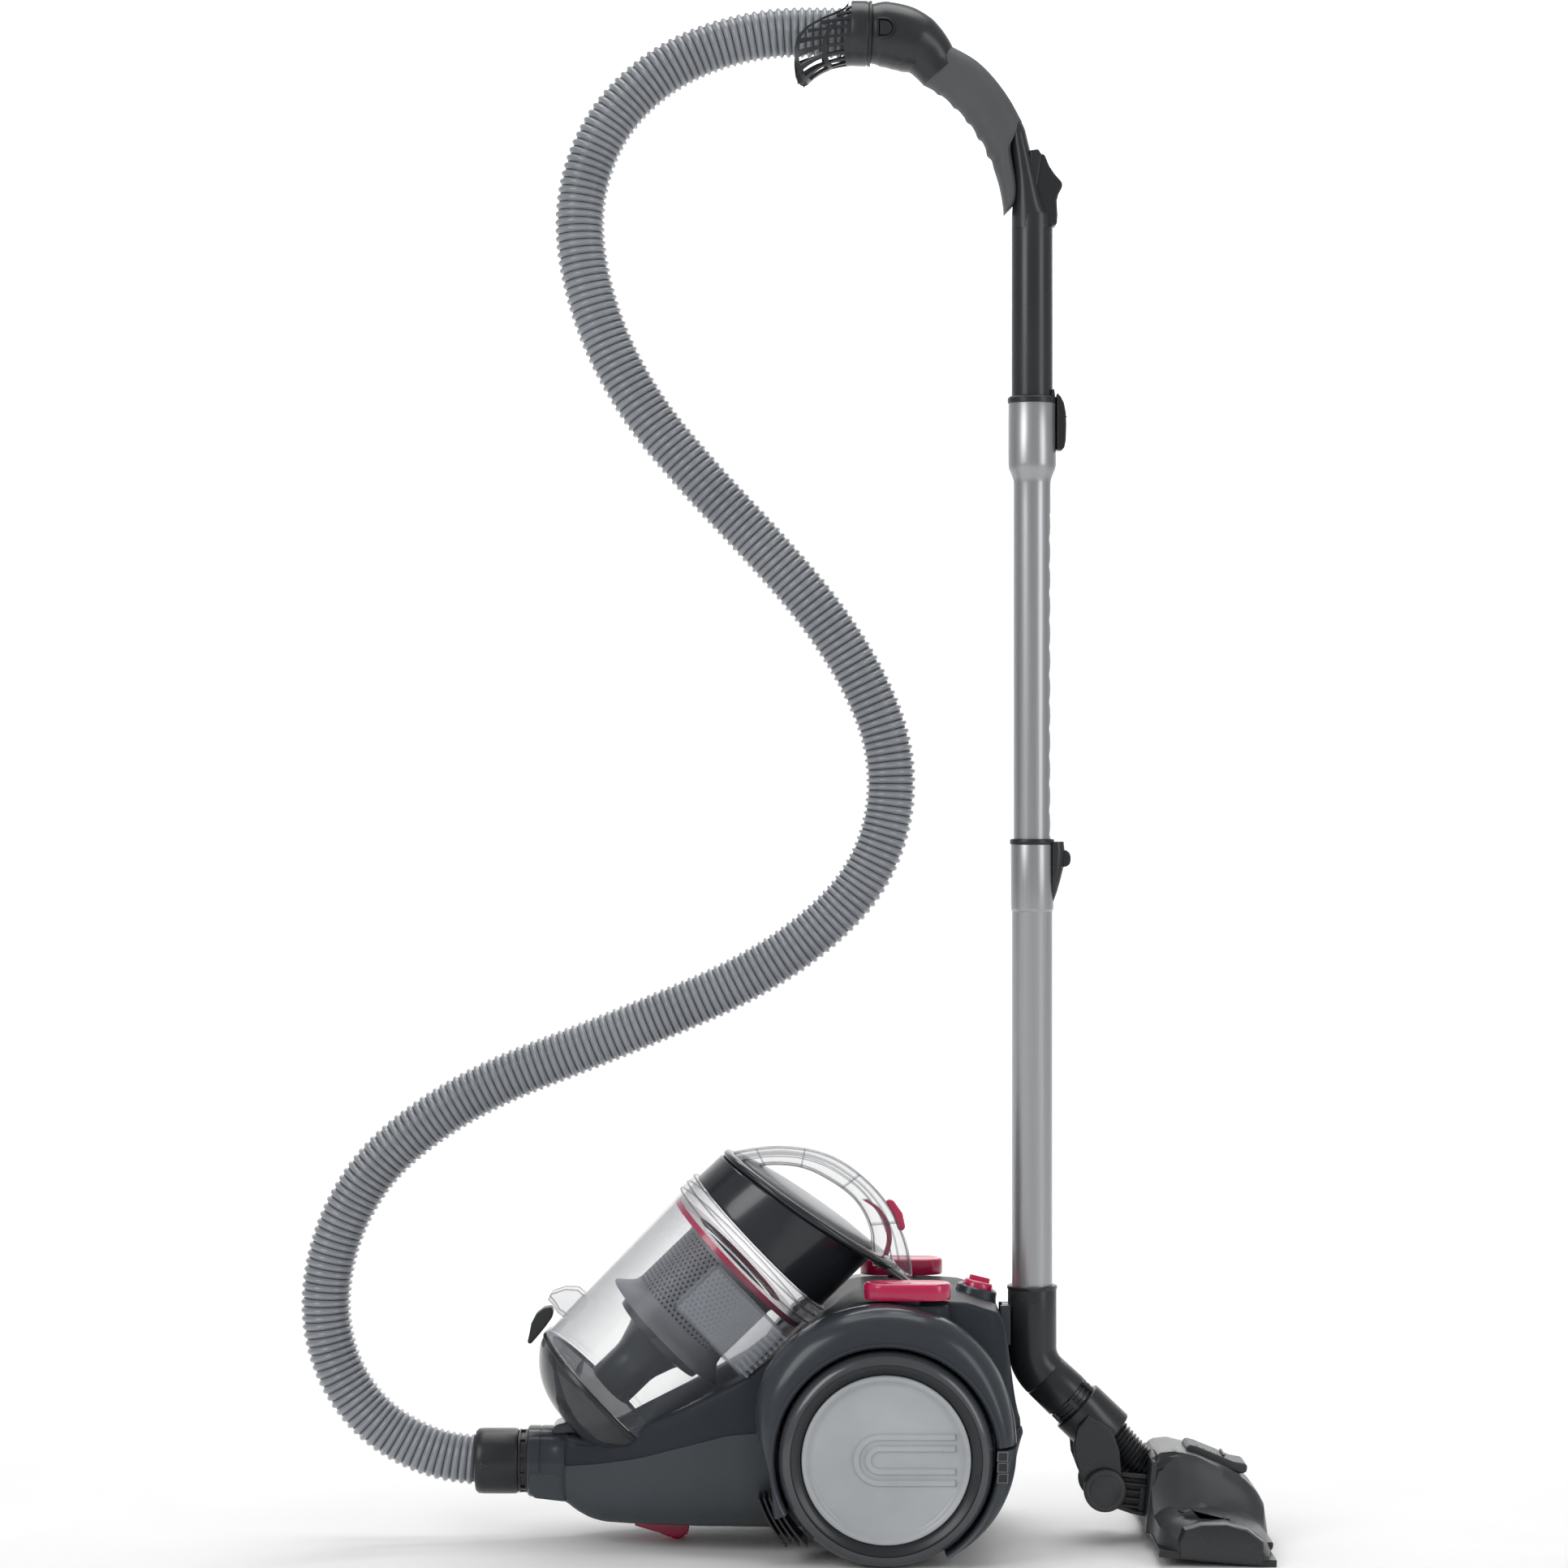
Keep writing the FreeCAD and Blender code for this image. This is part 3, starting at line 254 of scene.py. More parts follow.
def piece(name, points, faces, finish, body, replaces=(), bevel=0.0, sharp=38, thickness=0.0):
    """Mesh from points in millimetres, with its finish, its body and the nodes it stands for."""
    mesh = bpy.data.meshes.new(name)
    mesh.from_pydata([Vector(p) * MM for p in points], [], faces)
    mesh.validate()
    mesh.update()
    made = add_object(name, mesh)
    mesh.shade_smooth()
    if thickness:
        wall = made.modifiers.new("wall", "SOLIDIFY")
        wall.thickness = thickness * MM
        wall.offset = -1
    if bevel:
        edge = made.modifiers.new("edge", "BEVEL")
        edge.width = bevel * MM
        edge.segments = 3
        edge.limit_method = "ANGLE"
        edge.angle_limit = math.radians(32)
        made.modifiers.new("normals", "WEIGHTED_NORMAL")
    else:
        mesh.set_sharp_from_angle(angle=math.radians(sharp))
    return settle(made, finish, body, replaces)


def settle(made, finish, body, replaces=()):
    """Gives a piece its finish, the body it rides on and the nodes it stands for."""
    material, slot = FINISHES[finish]
    made.data.materials.clear()
    made.data.materials.append(material)
    if body:
        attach(made, body)
    if replaces:
        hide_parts(*replaces)
    return made


def moved(points, place):
    return [place @ Vector(p) for p in points] if place is not None else points


def ring_faces(rings, count, closed_loop=True):
    """Quads between rings of equal count."""
    faces = []
    around = count if closed_loop else count - 1
    for r in range(rings - 1):
        for k in range(around):
            a = r * count + k
            b = r * count + (k + 1) % count
            faces.append((a, b, b + count, a + count))
    return faces


def loft(name, sections, finish, body, caps=True, closed_loop=True, place=None, **options):
    """Skin over sections, each a list of the same number of points."""
    count = len(sections[0])
    points = moved([p for section in sections for p in section], place)
    faces = ring_faces(len(sections), count, closed_loop)
    if caps:
        faces.append(tuple(reversed(range(count))))
        faces.append(tuple(range((len(sections) - 1) * count, len(sections) * count)))
    return piece(name, points, faces, finish, body, **options)


def lathe(name, profile, finish, body, place=None, steps=96, closed=True, **options):
    """Profile of (radius, height) turned about Z, closed unless it is a skin."""
    turns = circle_turns(steps)
    points = [(r * math.cos(t), r * math.sin(t), h) for r, h in profile for t in turns]
    faces = ring_faces(len(profile), steps)
    if closed:
        last = (len(profile) - 1) * steps
        faces += [(last + k, last + (k + 1) % steps, (k + 1) % steps, k) for k in range(steps)]
    return piece(name, moved(points, place), faces, finish, body, **options)


def slab(name, outline, near, far, finish, body, place=None, **options):
    """Outline of (x, z) points, given a depth from Y = near to Y = far."""
    count = len(outline)
    points = [(x, near, z) for x, z in outline] + [(x, far, z) for x, z in outline]
    faces = [tuple(range(count)), tuple(reversed(range(count, 2 * count)))]
    faces += [(k, k + count, (k + 1) % count + count, (k + 1) % count) for k in range(count)]
    options.setdefault("bevel", 0.8)
    return piece(name, moved(points, place), faces, finish, body, **options)


def both_sides(name, outline, near, far, finish, body, place=None, nodes=(), **options):
    """The same slab on both sides of the machine's middle; the second stands for the nodes."""
    for side in (-1, 1):
        slab(f"{name}_{side + 1}", outline, side * near, side * far, finish, body, place,
             replaces=nodes if side > 0 else (), **options)


def block(name, corner, far_corner, finish, body, place=None, **options):
    """Box between two opposite corners."""
    (x0, y0, z0), (x1, y1, z1) = corner, far_corner
    outline = [(x0, z0), (x1, z0), (x1, z1), (x0, z1)]
    return slab(name, outline, y0, y1, finish, body, place, **options)


def spread(points, count):
    """Evenly spaced points on a smooth line through the given ones."""
    knots = [Vector(p) for p in points]
    before = knots[0] * 2 - knots[1]
    after = knots[-1] * 2 - knots[-2]
    padded = [before] + knots + [after]
    dense = []
    for k in range(1, len(padded) - 2):
        p, q, r, s = padded[k - 1:k + 3]
        for step in range(12):
            t = step / 12
            dense.append(0.5 * (2 * q + (r - p) * t + (2 * p - 5 * q + 4 * r - s) * t * t
                                + (3 * q - p - 3 * r + s) * t ** 3))
    dense.append(knots[-1])
    along = np.concatenate([[0], np.cumsum([(b - a).length for a, b in zip(dense, dense[1:])])])
    wanted = np.linspace(0, along[-1], count)
    columns = [np.interp(wanted, along, [p[axis] for p in dense]) for axis in range(len(knots[0]))]
    return [Vector(values) for values in zip(*columns)]


def squared_oval(above, below, half_width, power, steps):
    """Section between two points of a side outline; a smaller power makes it squarer."""
    centre, half = (above + below) / 2, (above - below) / 2
    section = []
    for t in circle_turns(steps):
        out, across = (math.copysign(abs(v) ** power, v) for v in (math.cos(t), math.sin(t)))
        section.append(centre + half * out + Vector((0, half_width * across, 0)))
    return section


def tube(name, path, radius, finish, body, segments=48, caps=True, place=None, **options):
    """Round tube along a path; radius is a number or a function of the distance along it."""
    path = [Vector(p) for p in path]
    side = Vector((0, 1, 0))
    sections = []
    reach = 0.0
    for k, point in enumerate(path):
        ahead = path[min(k + 1, len(path) - 1)] - path[max(k - 1, 0)]
        ahead.normalize()
        across = side.cross(ahead).normalized()
        upright = ahead.cross(across)
        if k:
            reach += (point - path[k - 1]).length
        r = radius(reach) if callable(radius) else radius
        sections.append([
            point + across * (r * math.cos(t)) + upright * (r * math.sin(t))
            for t in circle_turns(segments)
        ])
    return loft(name, sections, finish, body, caps=caps, place=place, **options)


def ovals(name, rings, finish, body, place, steps=72, **options):
    """Skin over ovals, each (middle, half length, half width, height) in the place's frame."""
    turns = circle_turns(steps)
    sections = [[(m + a * math.cos(t), b * math.sin(t), h) for t in turns] for m, a, b, h in rings]
    return loft(name, sections, finish, body, place=place, **options)


def softened(node, finish, body, bevel=0.8):
    """A CAD piece's own shape with its edges rounded."""
    source = frame["nodes"][node]
    mesh = source.data.copy()
    mesh.name = node + "_soft"
    work = bmesh.new()
    work.from_mesh(mesh)
    bmesh.ops.remove_doubles(work, verts=work.verts, dist=1e-5)
    bmesh.ops.dissolve_limit(work, angle_limit=math.radians(2), verts=work.verts, edges=work.edges)
    work.to_mesh(mesh)
    work.free()
    mesh.shade_smooth()
    made = add_object(node + "_soft", mesh)
    edge = made.modifiers.new("edge", "BEVEL")
    edge.width = bevel * MM
    edge.segments = 2
    edge.angle_limit = math.radians(30)
    made.modifiers.new("normals", "WEIGHTED_NORMAL")
    return settle(made, finish, body, [node])


def stadium(half_length, radius, steps=12):
    """Slot outline as (x, y) points."""
    straight = half_length - radius
    right = [(straight + radius * math.cos(t), radius * math.sin(t))
             for t in np.linspace(-math.pi / 2, math.pi / 2, steps)]
    return right + [(-x, -y) for x, y in right]


def stadium_stack(name, rings, finish, body, place, **options):
    """Skin over stadiums, each (half length, radius, height)."""
    sections = [[(x, y, h) for x, y in stadium(a, r)] for a, r, h in rings]
    return loft(name, sections, finish, body, place=place, **options)


# ---- camera ---------------------------------------------------------------------------

CAMERA_PLACE = (-0.0847, -3.5, 0.650)
VIEW_WIDTH = 1.3524
camera_data = bpy.data.cameras.new("camera")
camera_data.sensor_width = 36
camera_data.lens = camera_data.sensor_width * -CAMERA_PLACE[1] / VIEW_WIDTH
camera_data.clip_end = 50
camera = add_object("camera", camera_data)
camera.location = CAMERA_PLACE
camera.rotation_euler = (math.radians(90), 0, 0)
bpy.context.scene.camera = camera

# ---- hose -----------------------------------------------------------------------------

HOSE_RADIUS = 21.7
RIB_PITCH = 6.4
RIB_DEPTH = 3.4
# A dark tube inside the ribbed skin shows only in the valleys between ribs: painted shade in the grooves.
VALLEY_SHADE_RADIUS = 19.2
HOSE_ROUTE = [
    (-322, 66.5), (-360, 66.5), (-402, 78), (-441, 103), (-469, 143), (-481, 190), (-477, 238),
    (-461, 284), (-432, 327), (-386, 364), (-330, 395), (-262, 421), (-190, 450), (-121, 480),
    (-62, 517), (-15, 564), (8, 622), (7, 684), (-17, 743), (-55, 801), (-104, 857), (-158, 914),
    (-208, 974), (-243, 1040), (-261, 1108), (-260, 1163), (-240, 1216), (-203, 1257),
    (-155, 1284), (-100, 1297.6), (-54, 1298.6), (-12.4, 1297.1),
]


def route_line():
    """Points along the hose's smooth centre line, in millimetres."""
    curve = bpy.data.curves.new("hose_line", "CURVE")
    curve.dimensions = "3D"
    spline = curve.splines.new("NURBS")
    spline.points.add(len(HOSE_ROUTE) - 1)
    for knot, (x, z) in zip(spline.points, HOSE_ROUTE):
        knot.co = (x * MM, 0, z * MM, 1)
    spline.order_u = 3
    spline.use_endpoint_u = True
    spline.resolution_u = 40
    line = add_object("hose_line", curve)
    bpy.context.view_layer.update()
    mesh = bpy.data.meshes.new_from_object(line)
    points = [v.co / MM for v in mesh.vertices]
    bpy.data.objects.remove(line)
    return points


def rib(reach):
    """Hose radius: round ribs with narrow valleys between them."""
    wave = abs(math.cos(math.pi * reach / RIB_PITCH))
    return HOSE_RADIUS - RIB_DEPTH * (1 - wave) ** 1.1


def make_hose():
    line = route_line()
    gaps = [(b - a).length for a, b in zip(line, line[1:])]
    along = np.concatenate([[0], np.cumsum(gaps)])
    wanted = np.linspace(0, along[-1], int(along[-1] / RIB_PITCH * 8))
    columns = [np.interp(wanted, along, [p[axis] for p in line]) for axis in range(3)]
    fine = [Vector(values) for values in zip(*columns)]
    hose = tube("hose_ribbed", fine, rib, "hose", None, segments=40, replaces=["hose"], sharp=80)
    # Dark inner tube that shows through the rib valleys: painted shade in the grooves.
    valley_shade = tube("hose_valley_shade", fine[::8], VALLEY_SHADE_RADIUS, "groove", None, segments=32)
    for skin in (hose, valley_shade):
        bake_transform(skin)


make_hose()

# ---- casing of the canister -----------------------------------------------------------

SIDE_TOP = [(-272, 93), (-251, 90), (-224, 98), (-210, 105), (-168, 124), (-118, 150),
            (-60, 194), (-24, 214), (27, 216.5), (70, 214), (97, 204), (104, 190), (107.5, 147),
            (114, 118), (116.4, 104)]
SIDE_BOTTOM = [(-272, 37), (-262, 29), (-250, 23), (-238, 20.5), (-200, 20), (64, 20), (80, 24),
               (94, 36), (106, 58), (112, 80), (116.4, 102)]
SEAM = [(-272, 66), (-247, 70), (-210, 78), (-168, 91), (-130, 102), (-94, 105), (116.4, 103)]
HALF_WIDTH = [(-272, 31), (-255, 41), (-240, 51), (-205, 70), (-165, 85), (-120, 93.5), (-60, 95),
              (60, 95), (92, 89), (108, 78), (114, 62), (116.4, 40)]
# The bin leans back in its cradle, which leaves room round the cup and below its foot.
BIN_RADIUS_FREE = 83.5
BIN_FOOT_FREE = -206
BIN_LEAN = 46


def read_off(line, x):
    return float(np.interp(x, [p[0] for p in line], [p[1] for p in line]))


def eased(line, x, reach=7):
    """A line read off with its corners rounded."""
    return sum(read_off(line, x + step * reach / 3) for step in range(-3, 4)) / 7


BIN_CENTRE = Vector((-123.9, 0, 238.4))
BIN = tilted(BIN_CENTRE, BIN_LEAN)
BIN_UP = (BIN.to_3x3() @ Vector((0, 0, 1))).normalized()
BIN_FRONT = (BIN.to_3x3() @ Vector((-1, 0, 0))).normalized()


def trough_height(x, y):
    """Height of the bin's cradle at a place in plan."""
    drop = -math.sqrt(max(0, BIN_RADIUS_FREE ** 2 - y * y))
    round_part = BIN_CENTRE.z + (drop - BIN_FRONT.x * (x - BIN_CENTRE.x)) / BIN_FRONT.z
    flat_part = BIN_CENTRE.z + (BIN_FOOT_FREE - BIN_UP.x * (x - BIN_CENTRE.x)) / BIN_UP.z
    return max(round_part, flat_part)


# Sections along the casing, closer together at its steep rear end.
STATIONS = sorted(set(
    [round(-272 + 4 * k, 2) for k in range(90)] + [88 + 1.5 * k for k in range(19)] + [116.2]
))


def hull_section(x):
    top, bottom, wide = eased(SEAM, x) - 0.5, eased(SIDE_BOTTOM, x, 4), eased(HALF_WIDTH, x)
    half = []
    for k in range(15):
        t = math.pi / 2 * k / 14
        y = wide * math.cos(t) ** 0.42
        z = top - (top - bottom) * math.sin(t) ** 0.55
        half.append((x, y, z))
    return [(x, wide - 3, top)] + half + [(x, -y, z) for x, y, z in reversed(half[:-1])] + [
        (x, 3 - wide, top)]


def shell_section(x):
    foot, top, wide = eased(SEAM, x) + 0.5, eased(SIDE_TOP, x, 4), eased(HALF_WIDTH, x)
    top = max(top, foot + 1)
    inner = min(wide - 10, BIN_RADIUS_FREE)
    rise = top - foot
    half = [(x, wide - 2.5, foot), (x, wide, foot + 0.4)]
    half += [(x, wide - 2.4 * t, foot + rise * t) for t in (0.25, 0.5, 0.75)]
    corner = min(5, rise * 0.4)
    for k in range(5):
        t = math.pi / 2 * k / 4
        half.append((x, wide - 3 - corner + corner * math.cos(t), top - corner + corner * math.sin(t)))
    for k in range(13):
        y = inner * math.cos(math.pi / 2 * k / 12)
        half.append((x, y, min(top, trough_height(x, y))))
    return half + [(x, -y, z) for x, y, z in reversed(half[:-1])]


def make_casing():
    hull = [hull_section(x) for x in STATIONS]
    loft("hull_shell", hull, "hull", "canister", closed_loop=False, caps=False, thickness=2.2,
         replaces=["lower_hull"], sharp=50)
    shell = [shell_section(x) for x in STATIONS]
    loft("deck_shell", shell, "deck", "canister", closed_loop=False, caps=False, thickness=1.8,
         replaces=["upper_shell"], sharp=40)


make_casing()


# ---- wheels and their arches ----------------------------------------------------------

AXLE = joint_point("left_wheel_spin")
ARCH_GAP = 92.5
ARCH_RIM = [(-62, 96), (-48, 99), (-30, 104), (-10, 108), (8, 110), (25, 114), (42, 120),
            (60, 124.5), (90, 125.5), (130, 124.5), (148, 122), (160, 116), (172, 108),
            (182, 100), (194, 97), (208, 108), (212, 110)]


def arch_section(angle, side):
    rim = eased(ARCH_RIM, angle, 6)
    deep = min(1, (rim - ARCH_GAP) / 20)
    profile = [(ARCH_GAP, 97), (ARCH_GAP, 139), (ARCH_GAP + 1.5, 142.5), (ARCH_GAP + 4, 143.6)]
    bulge = rim - ARCH_GAP
    for k in range(8):
        t = math.pi / 2 * k / 7
        r = ARCH_GAP + 4 + (bulge - 4) * math.sin(t)
        y = 143.6 - 2 - (6 + 22 * deep) * (1 - math.cos(t))
        profile.append((r, y))
    profile += [(rim, 108), (rim - 1, 96)]
    turn = math.radians(angle)
    return [(AXLE.x + r * math.cos(turn), side * y, AXLE.z + r * math.sin(turn))
            for r, y in profile]


def make_arch(word, side):
    seam_rear, seam_front = 6, 211
    gloss = [arch_section(a, side) for a in np.arange(seam_rear, seam_front, 2.5)]
    lower = [arch_section(a, side) for a in np.arange(-58, seam_rear - 0.4, 2.5)]
    loft(f"arch_{word}", gloss, "gloss", "canister", replaces=[f"wheel_arch_{word}"], sharp=50)
    loft(f"arch_foot_{word}", lower, "hull", "canister", sharp=50)
    # The three rear vents sit in lighter silver frames: painted edge highlights round each slot.
    for k in range(3):
        z = 72 + 9 * k
        highlight_frame_line = [(91.4, z - 0.6), (100.6, z - 0.6), (101, z + 7.8), (92, z + 7.8)]
        slab(f"rear_vent_frame_{word}_{k}", highlight_frame_line, side * 140, side * 144.4, "silver",
             "canister", bevel=0.5)
        slot_line = [(92.6, z + 0.4), (99.6, z + 0.4), (99.8, z + 6.8), (93, z + 6.8)]
        slab(f"rear_vent_{word}_{k}", slot_line, side * 140, side * 144.8, "black", "canister",
             bevel=0.3)
    for k, reach in enumerate((96.5, 101, 105.5, 110)):
        turns = [math.radians(angle) for angle in range(198, 229 - 2 * k, 3)]
        fin = [(AXLE.x + r * math.cos(t), AXLE.z + r * math.sin(t))
               for r, line in ((reach, turns), (reach + 1.8, turns[::-1])) for t in line]
        slab(f"louvre_{word}_{k}", fin, side * 94, side * (138 - 3 * k), "black", "canister",
             bevel=0.5)


def hairpin(name, body, place, reach, half_height, tip):
    """Raised ridge shaped like a hairpin, lying on the wheel's disc."""
    path = [(tip + reach, half_height)] + [
        (tip + half_height - half_height * math.sin(t), half_height * math.cos(t))
        for t in np.linspace(0, math.pi, 19)] + [(tip + reach, -half_height)]
    sections = []
    for k, (x, y) in enumerate(path):
        ahead = Vector(path[min(k + 1, len(path) - 1)]) - Vector(path[max(k - 1, 0)])
        ahead.normalize()
        out = Vector((-ahead.y, ahead.x))
        sections.append([(x + out.x * w, y + out.y * w, 14.4 + lift) for w, lift in
                         ((-3.2, 0), (-1.9, 1.9), (0, 2.1), (1.9, 1.9), (3.2, 0))])
    loft(name, sections, "disc", body, caps=False, closed_loop=False, place=place)


def make_wheel(word, side):
    body = f"{word}_wheel"
    centre = joint_point(f"{word}_wheel_spin")
    place = Matrix.Translation(centre) @ Matrix.Rotation(math.radians(-90 * side), 4, "X")
    tread = [(79.8, -22), (84, -23), (87, -21.6), (88.6, -18), (89.2, -12), (88.9, -11), (89.6, -10),
             (90, -4), (90, 4), (89.7, 9), (89, 13), (87.4, 16.5), (84.8, 19), (81.5, 20.6),
             (79.8, 20.9)]
    lathe(f"tread_{word}", tread, "tread", body, place, steps=128,
          replaces=[f"wheel_tyre_{word}"], sharp=60)
    rim = [(79.4, -14), (79.4, 19.2), (77.5, 18.6), (75, 16.2), (71.2, 15.2), (70.8, 13), (68, 6),
           (14, 6), (14, -16), (7, -16), (7, 3), (66, 3), (66, -14)]
    lathe(f"rim_{word}", rim, "ring", body, place, steps=128,
          replaces=[f"wheel_rim_{word}"], sharp=45)
    disc = [(0.01, 14.4), (60, 14.4), (62.8, 14.7), (64.4, 16), (66, 17.9), (68, 18.9), (69.6, 18.6),
            (70.2, 17.2), (70.2, 11), (0.01, 11)]
    lathe(f"disc_{word}", disc, "disc", body, place, steps=128, sharp=60)
    hairpin(f"ridge_outer_{word}", body, place, 82, 19, -25)
    hairpin(f"ridge_inner_{word}", body, place, 72, 9.5, -15)
    ribs = 10
    for k in range(ribs):
        turn = spun(place, 2 * math.pi * k / ribs)
        block(f"rib_{word}_{k}", (14, -1.2, -10), (66, 1.2, 3), "ring", body, turn)


for word, side in (("left", 1), ("right", -1)):
    make_arch(word, side)
    make_wheel(word, side)


# ---- front of the canister ------------------------------------------------------------

INLET = middle("inlet_socket")


def make_inlet():
    place = standing((high("inlet_socket").x, 0, INLET.z), (-1, 0, 0))
    skin = [(24.4, 0), (31, 0), (30.8, 8), (30.5, 9), (30.5, 20), (30, 20.4), (30, 21.6),
            (30.5, 22), (30.5, 31), (29.4, 32.4), (24.4, 32.4)]
    lathe("inlet_neck", skin, "gloss", "canister", place, replaces=["inlet_socket"], sharp=30)
    cover = [(-284, 96), (-281, 100), (-272, 102), (-262, 101), (-254, 97), (-254, 92), (-284, 92)]
    slab("neck_cover", cover, -19, 19, "gloss", "canister", bevel=2)
    belly = [(-303, 62), (-303, 44), (-298, 39), (-272, 36), (-268, 62)]
    both_sides("neck_cheek", belly, 24, 29.6, "hull", "canister", bevel=1.5)


def make_caster():
    softened("caster_fork", "red", "caster", 0.9)
    skid = [(-213, 18.6), (-213, 12.6), (-192, 6.6), (-184, 3.2), (-174, 2.6), (-167, 7), (-166, 12),
            (-167, 18.6)]
    both_sides("caster_skid", skid, 9.8, 13, "red", "caster", bevel=1.2)
    centre = joint_point("caster_roll")
    roll = [(2.1, -9), (6.6, -9), (8.4, -7.8), (9, -5.5), (9, -1), (8.5, -0.6), (8.5, 0.6), (9, 1),
            (9, 5.5), (8.4, 7.8), (6.6, 9), (2.1, 9)]
    lathe("caster_roll", roll, "red", "caster_wheel", standing(centre, (0, 1, 0)), steps=48,
          replaces=["caster_roller"])


def make_underside():
    for k, (x, y) in enumerate([(-190, 40), (-190, -40), (-60, 70), (-60, -70), (60, 60), (60, -60)]):
        head = [(0.01, 0), (2.2, 0), (2.6, 0.6), (4.4, 0.6), (4.6, -1), (0.01, -1)]
        lathe(f"hull_screw_{k}", head, "steel", "canister", standing((x, y, 20), (0, 0, -1)), steps=24)


make_inlet()
make_caster()
make_underside()

# ---- deck -----------------------------------------------------------------------------

DIAL = standing(joint_point("power_turn"), joint_axis("power_turn"))


def make_deck():
    for word in ("power", "rewind"):
        node = f"{word}_pedal"
        centre = middle(node)
        place = Matrix.Translation((centre.x, centre.y, 0))
        base = [(37, 18, 190), (36, 17, 204), (35.5, 16.5, 211), (34, 15, 212.6)]
        stadium_stack(f"{word}_riser", base, "deck", "canister", place, sharp=50)
        top = high(node).z
        shape = [(33, 14, 217.2), (36, 17, 217.4), (36.5, 17.5, 218.6), (36.5, 17.5, top - 2.6),
                 (35.8, 16.8, top - 1), (34.4, 15.4, top - 0.2), (32.6, 13.6, top),
                 (30.8, 11.8, top - 0.9)]
        stadium_stack(f"{word}_pedal_top", shape, "red", node, place, replaces=[node],
                      sharp=60)
        post = [(12, 6, 205), (12, 6, 217.4)]
        stadium_stack(f"{word}_post", post, "ring", node, place)
    knob = [(0.01, 0), (13, 0), (13, 1.2), (12.4, 5), (11.4, 6.2), (9.6, 6.6), (0.01, 6.6)]
    lathe("dial", knob, "red", "power_dial", DIAL, steps=64, replaces=["power_knob"])
    grip_bar = [(9, 1.9, 6.2), (9, 1.9, 9.4), (8.4, 1.3, 10.2)]
    stadium_stack("dial_bar", grip_bar, "red", "power_dial", DIAL, sharp=60)
    seat = [(13.6, -1), (0.01, -1), (0.01, -16), (19.5, -16), (17.4, 0.2), (15.8, 1.4), (13.9, 1.2)]
    lathe("dial_seat", seat, "gloss", "canister", DIAL, steps=64)
    for side in (-1, 1):
        block(f"parking_rail_{side + 1}", (101, 0, 168), (110, 3.8, 202), "gloss", "canister",
              place=Matrix.Translation((0, side * 12.7 - 1.9, 0)), bevel=0.8)


make_deck()

# ---- dust bin -------------------------------------------------------------------------

FOOT = -160
BAND_FOOT = 8.5
CUP_DRAFT = 3.5
FLAP_SHIFT = 4.5
LID_SLOPE = 34.35
LID = tilted((-137.2, 0, 330.2), LID_SLOPE)


def cup_lean(height):
    """How far the cup has drawn in at a height; its hinge side stays straight."""
    return CUP_DRAFT * (BAND_FOOT - min(height, BAND_FOOT)) / (BAND_FOOT - FOOT)


def make_cup():
    wall = [(75.2, FOOT), (76, FOOT), (77.3, FOOT + 1), (77.4, FOOT + 3), (76, FOOT + 4.6),
            (77.6, FOOT + 6), (77.5, -150), (77.5, 6), (80.4, 8), (80.4, 25), (79.4, 26), (76, 26),
            (75.2, 24)]
    turns = circle_turns(128)
    sections = []
    for r, height in wall + wall[:1]:
        in_flange = height < FOOT + 5
        centre = FLAP_SHIFT if in_flange else cup_lean(height)
        radius = r - 0.4 if in_flange else r - centre
        sections.append([(centre + radius * math.cos(t), radius * math.sin(t), height)
                         for t in turns])
    loft("cup", sections, "clear", "bin", place=BIN, caps=False, replaces=["bin_cup"], sharp=45)
    for k, u in enumerate((8.2, 16.5, 24.6)):
        hoop = [(79.4, u - 0.7), (80.9, u - 0.7), (81.1, u), (80.9, u + 0.7), (79.4, u + 0.7)]
        lathe(f"band_hoop_{k}", hoop, "thick", "bin", BIN, steps=128)
    duct = [(-16, -57), (62, -57), (64, -54), (64, -10), (61, -7), (-16, -7), (-18, -10), (-18, -54)]
    slab("inlet_duct", duct, -93, -74, "haze", "bin", BIN, bevel=2.5)
    for k, (a, b, c, d) in enumerate(((-18, -58, -15.4, -6), (61.4, -58, 64, -6),
                                      (-18, -58, 64, -55.6), (-18, -8.4, 64, -6))):
        block(f"duct_edge_{k}", (a, -94, b), (c, -90, d), "thick", "bin", BIN, bevel=0.8)
    for k in range(9):
        block(f"duct_tooth_{k}", (54, -94.4, -55 + 5.6 * k), (68, -84, -52.6 + 5.6 * k), "haze",
              "bin", BIN, bevel=0.6)
    ring = [(49.5, -3), (75, -3), (75.1, 2), (49.5, 2)]
    lathe("seal_ring", ring, "red", "bin", BIN, steps=128, replaces=["red_ring"])


def perforated(name, radius, bottom, top, columns, rows, finish, body, place):
    """Cylinder wall with a round hole in every cell, in staggered rows."""
    points, faces = [], []
    turn = 2 * math.pi / columns
    rise = (top - bottom) / rows
    share = 0.31
    corners = [(-.5, -.5), (0, -.5), (.5, -.5), (.5, 0), (.5, .5), (0, .5), (-.5, .5), (-.5, 0)]
    for row in range(rows):
        for column in range(columns):
            middle_turn = (column + 0.5 * (row % 2)) * turn
            middle_rise = bottom + (row + 0.5) * rise
            first = len(points)
            for a, b in corners:
                hole = math.atan2(b, a)
                for da, db in ((a, b), (share * math.cos(hole), share * math.sin(hole))):
                    t = middle_turn + da * turn
                    points.append((radius * math.cos(t), radius * math.sin(t), middle_rise + db * rise))
            for k in range(8):
                n = (k + 1) % 8
                faces.append((first + 2 * k, first + 2 * n, first + 2 * n + 1, first + 2 * k + 1))
    piece(name, moved(points, place), faces, finish, body, thickness=1.2, sharp=60)


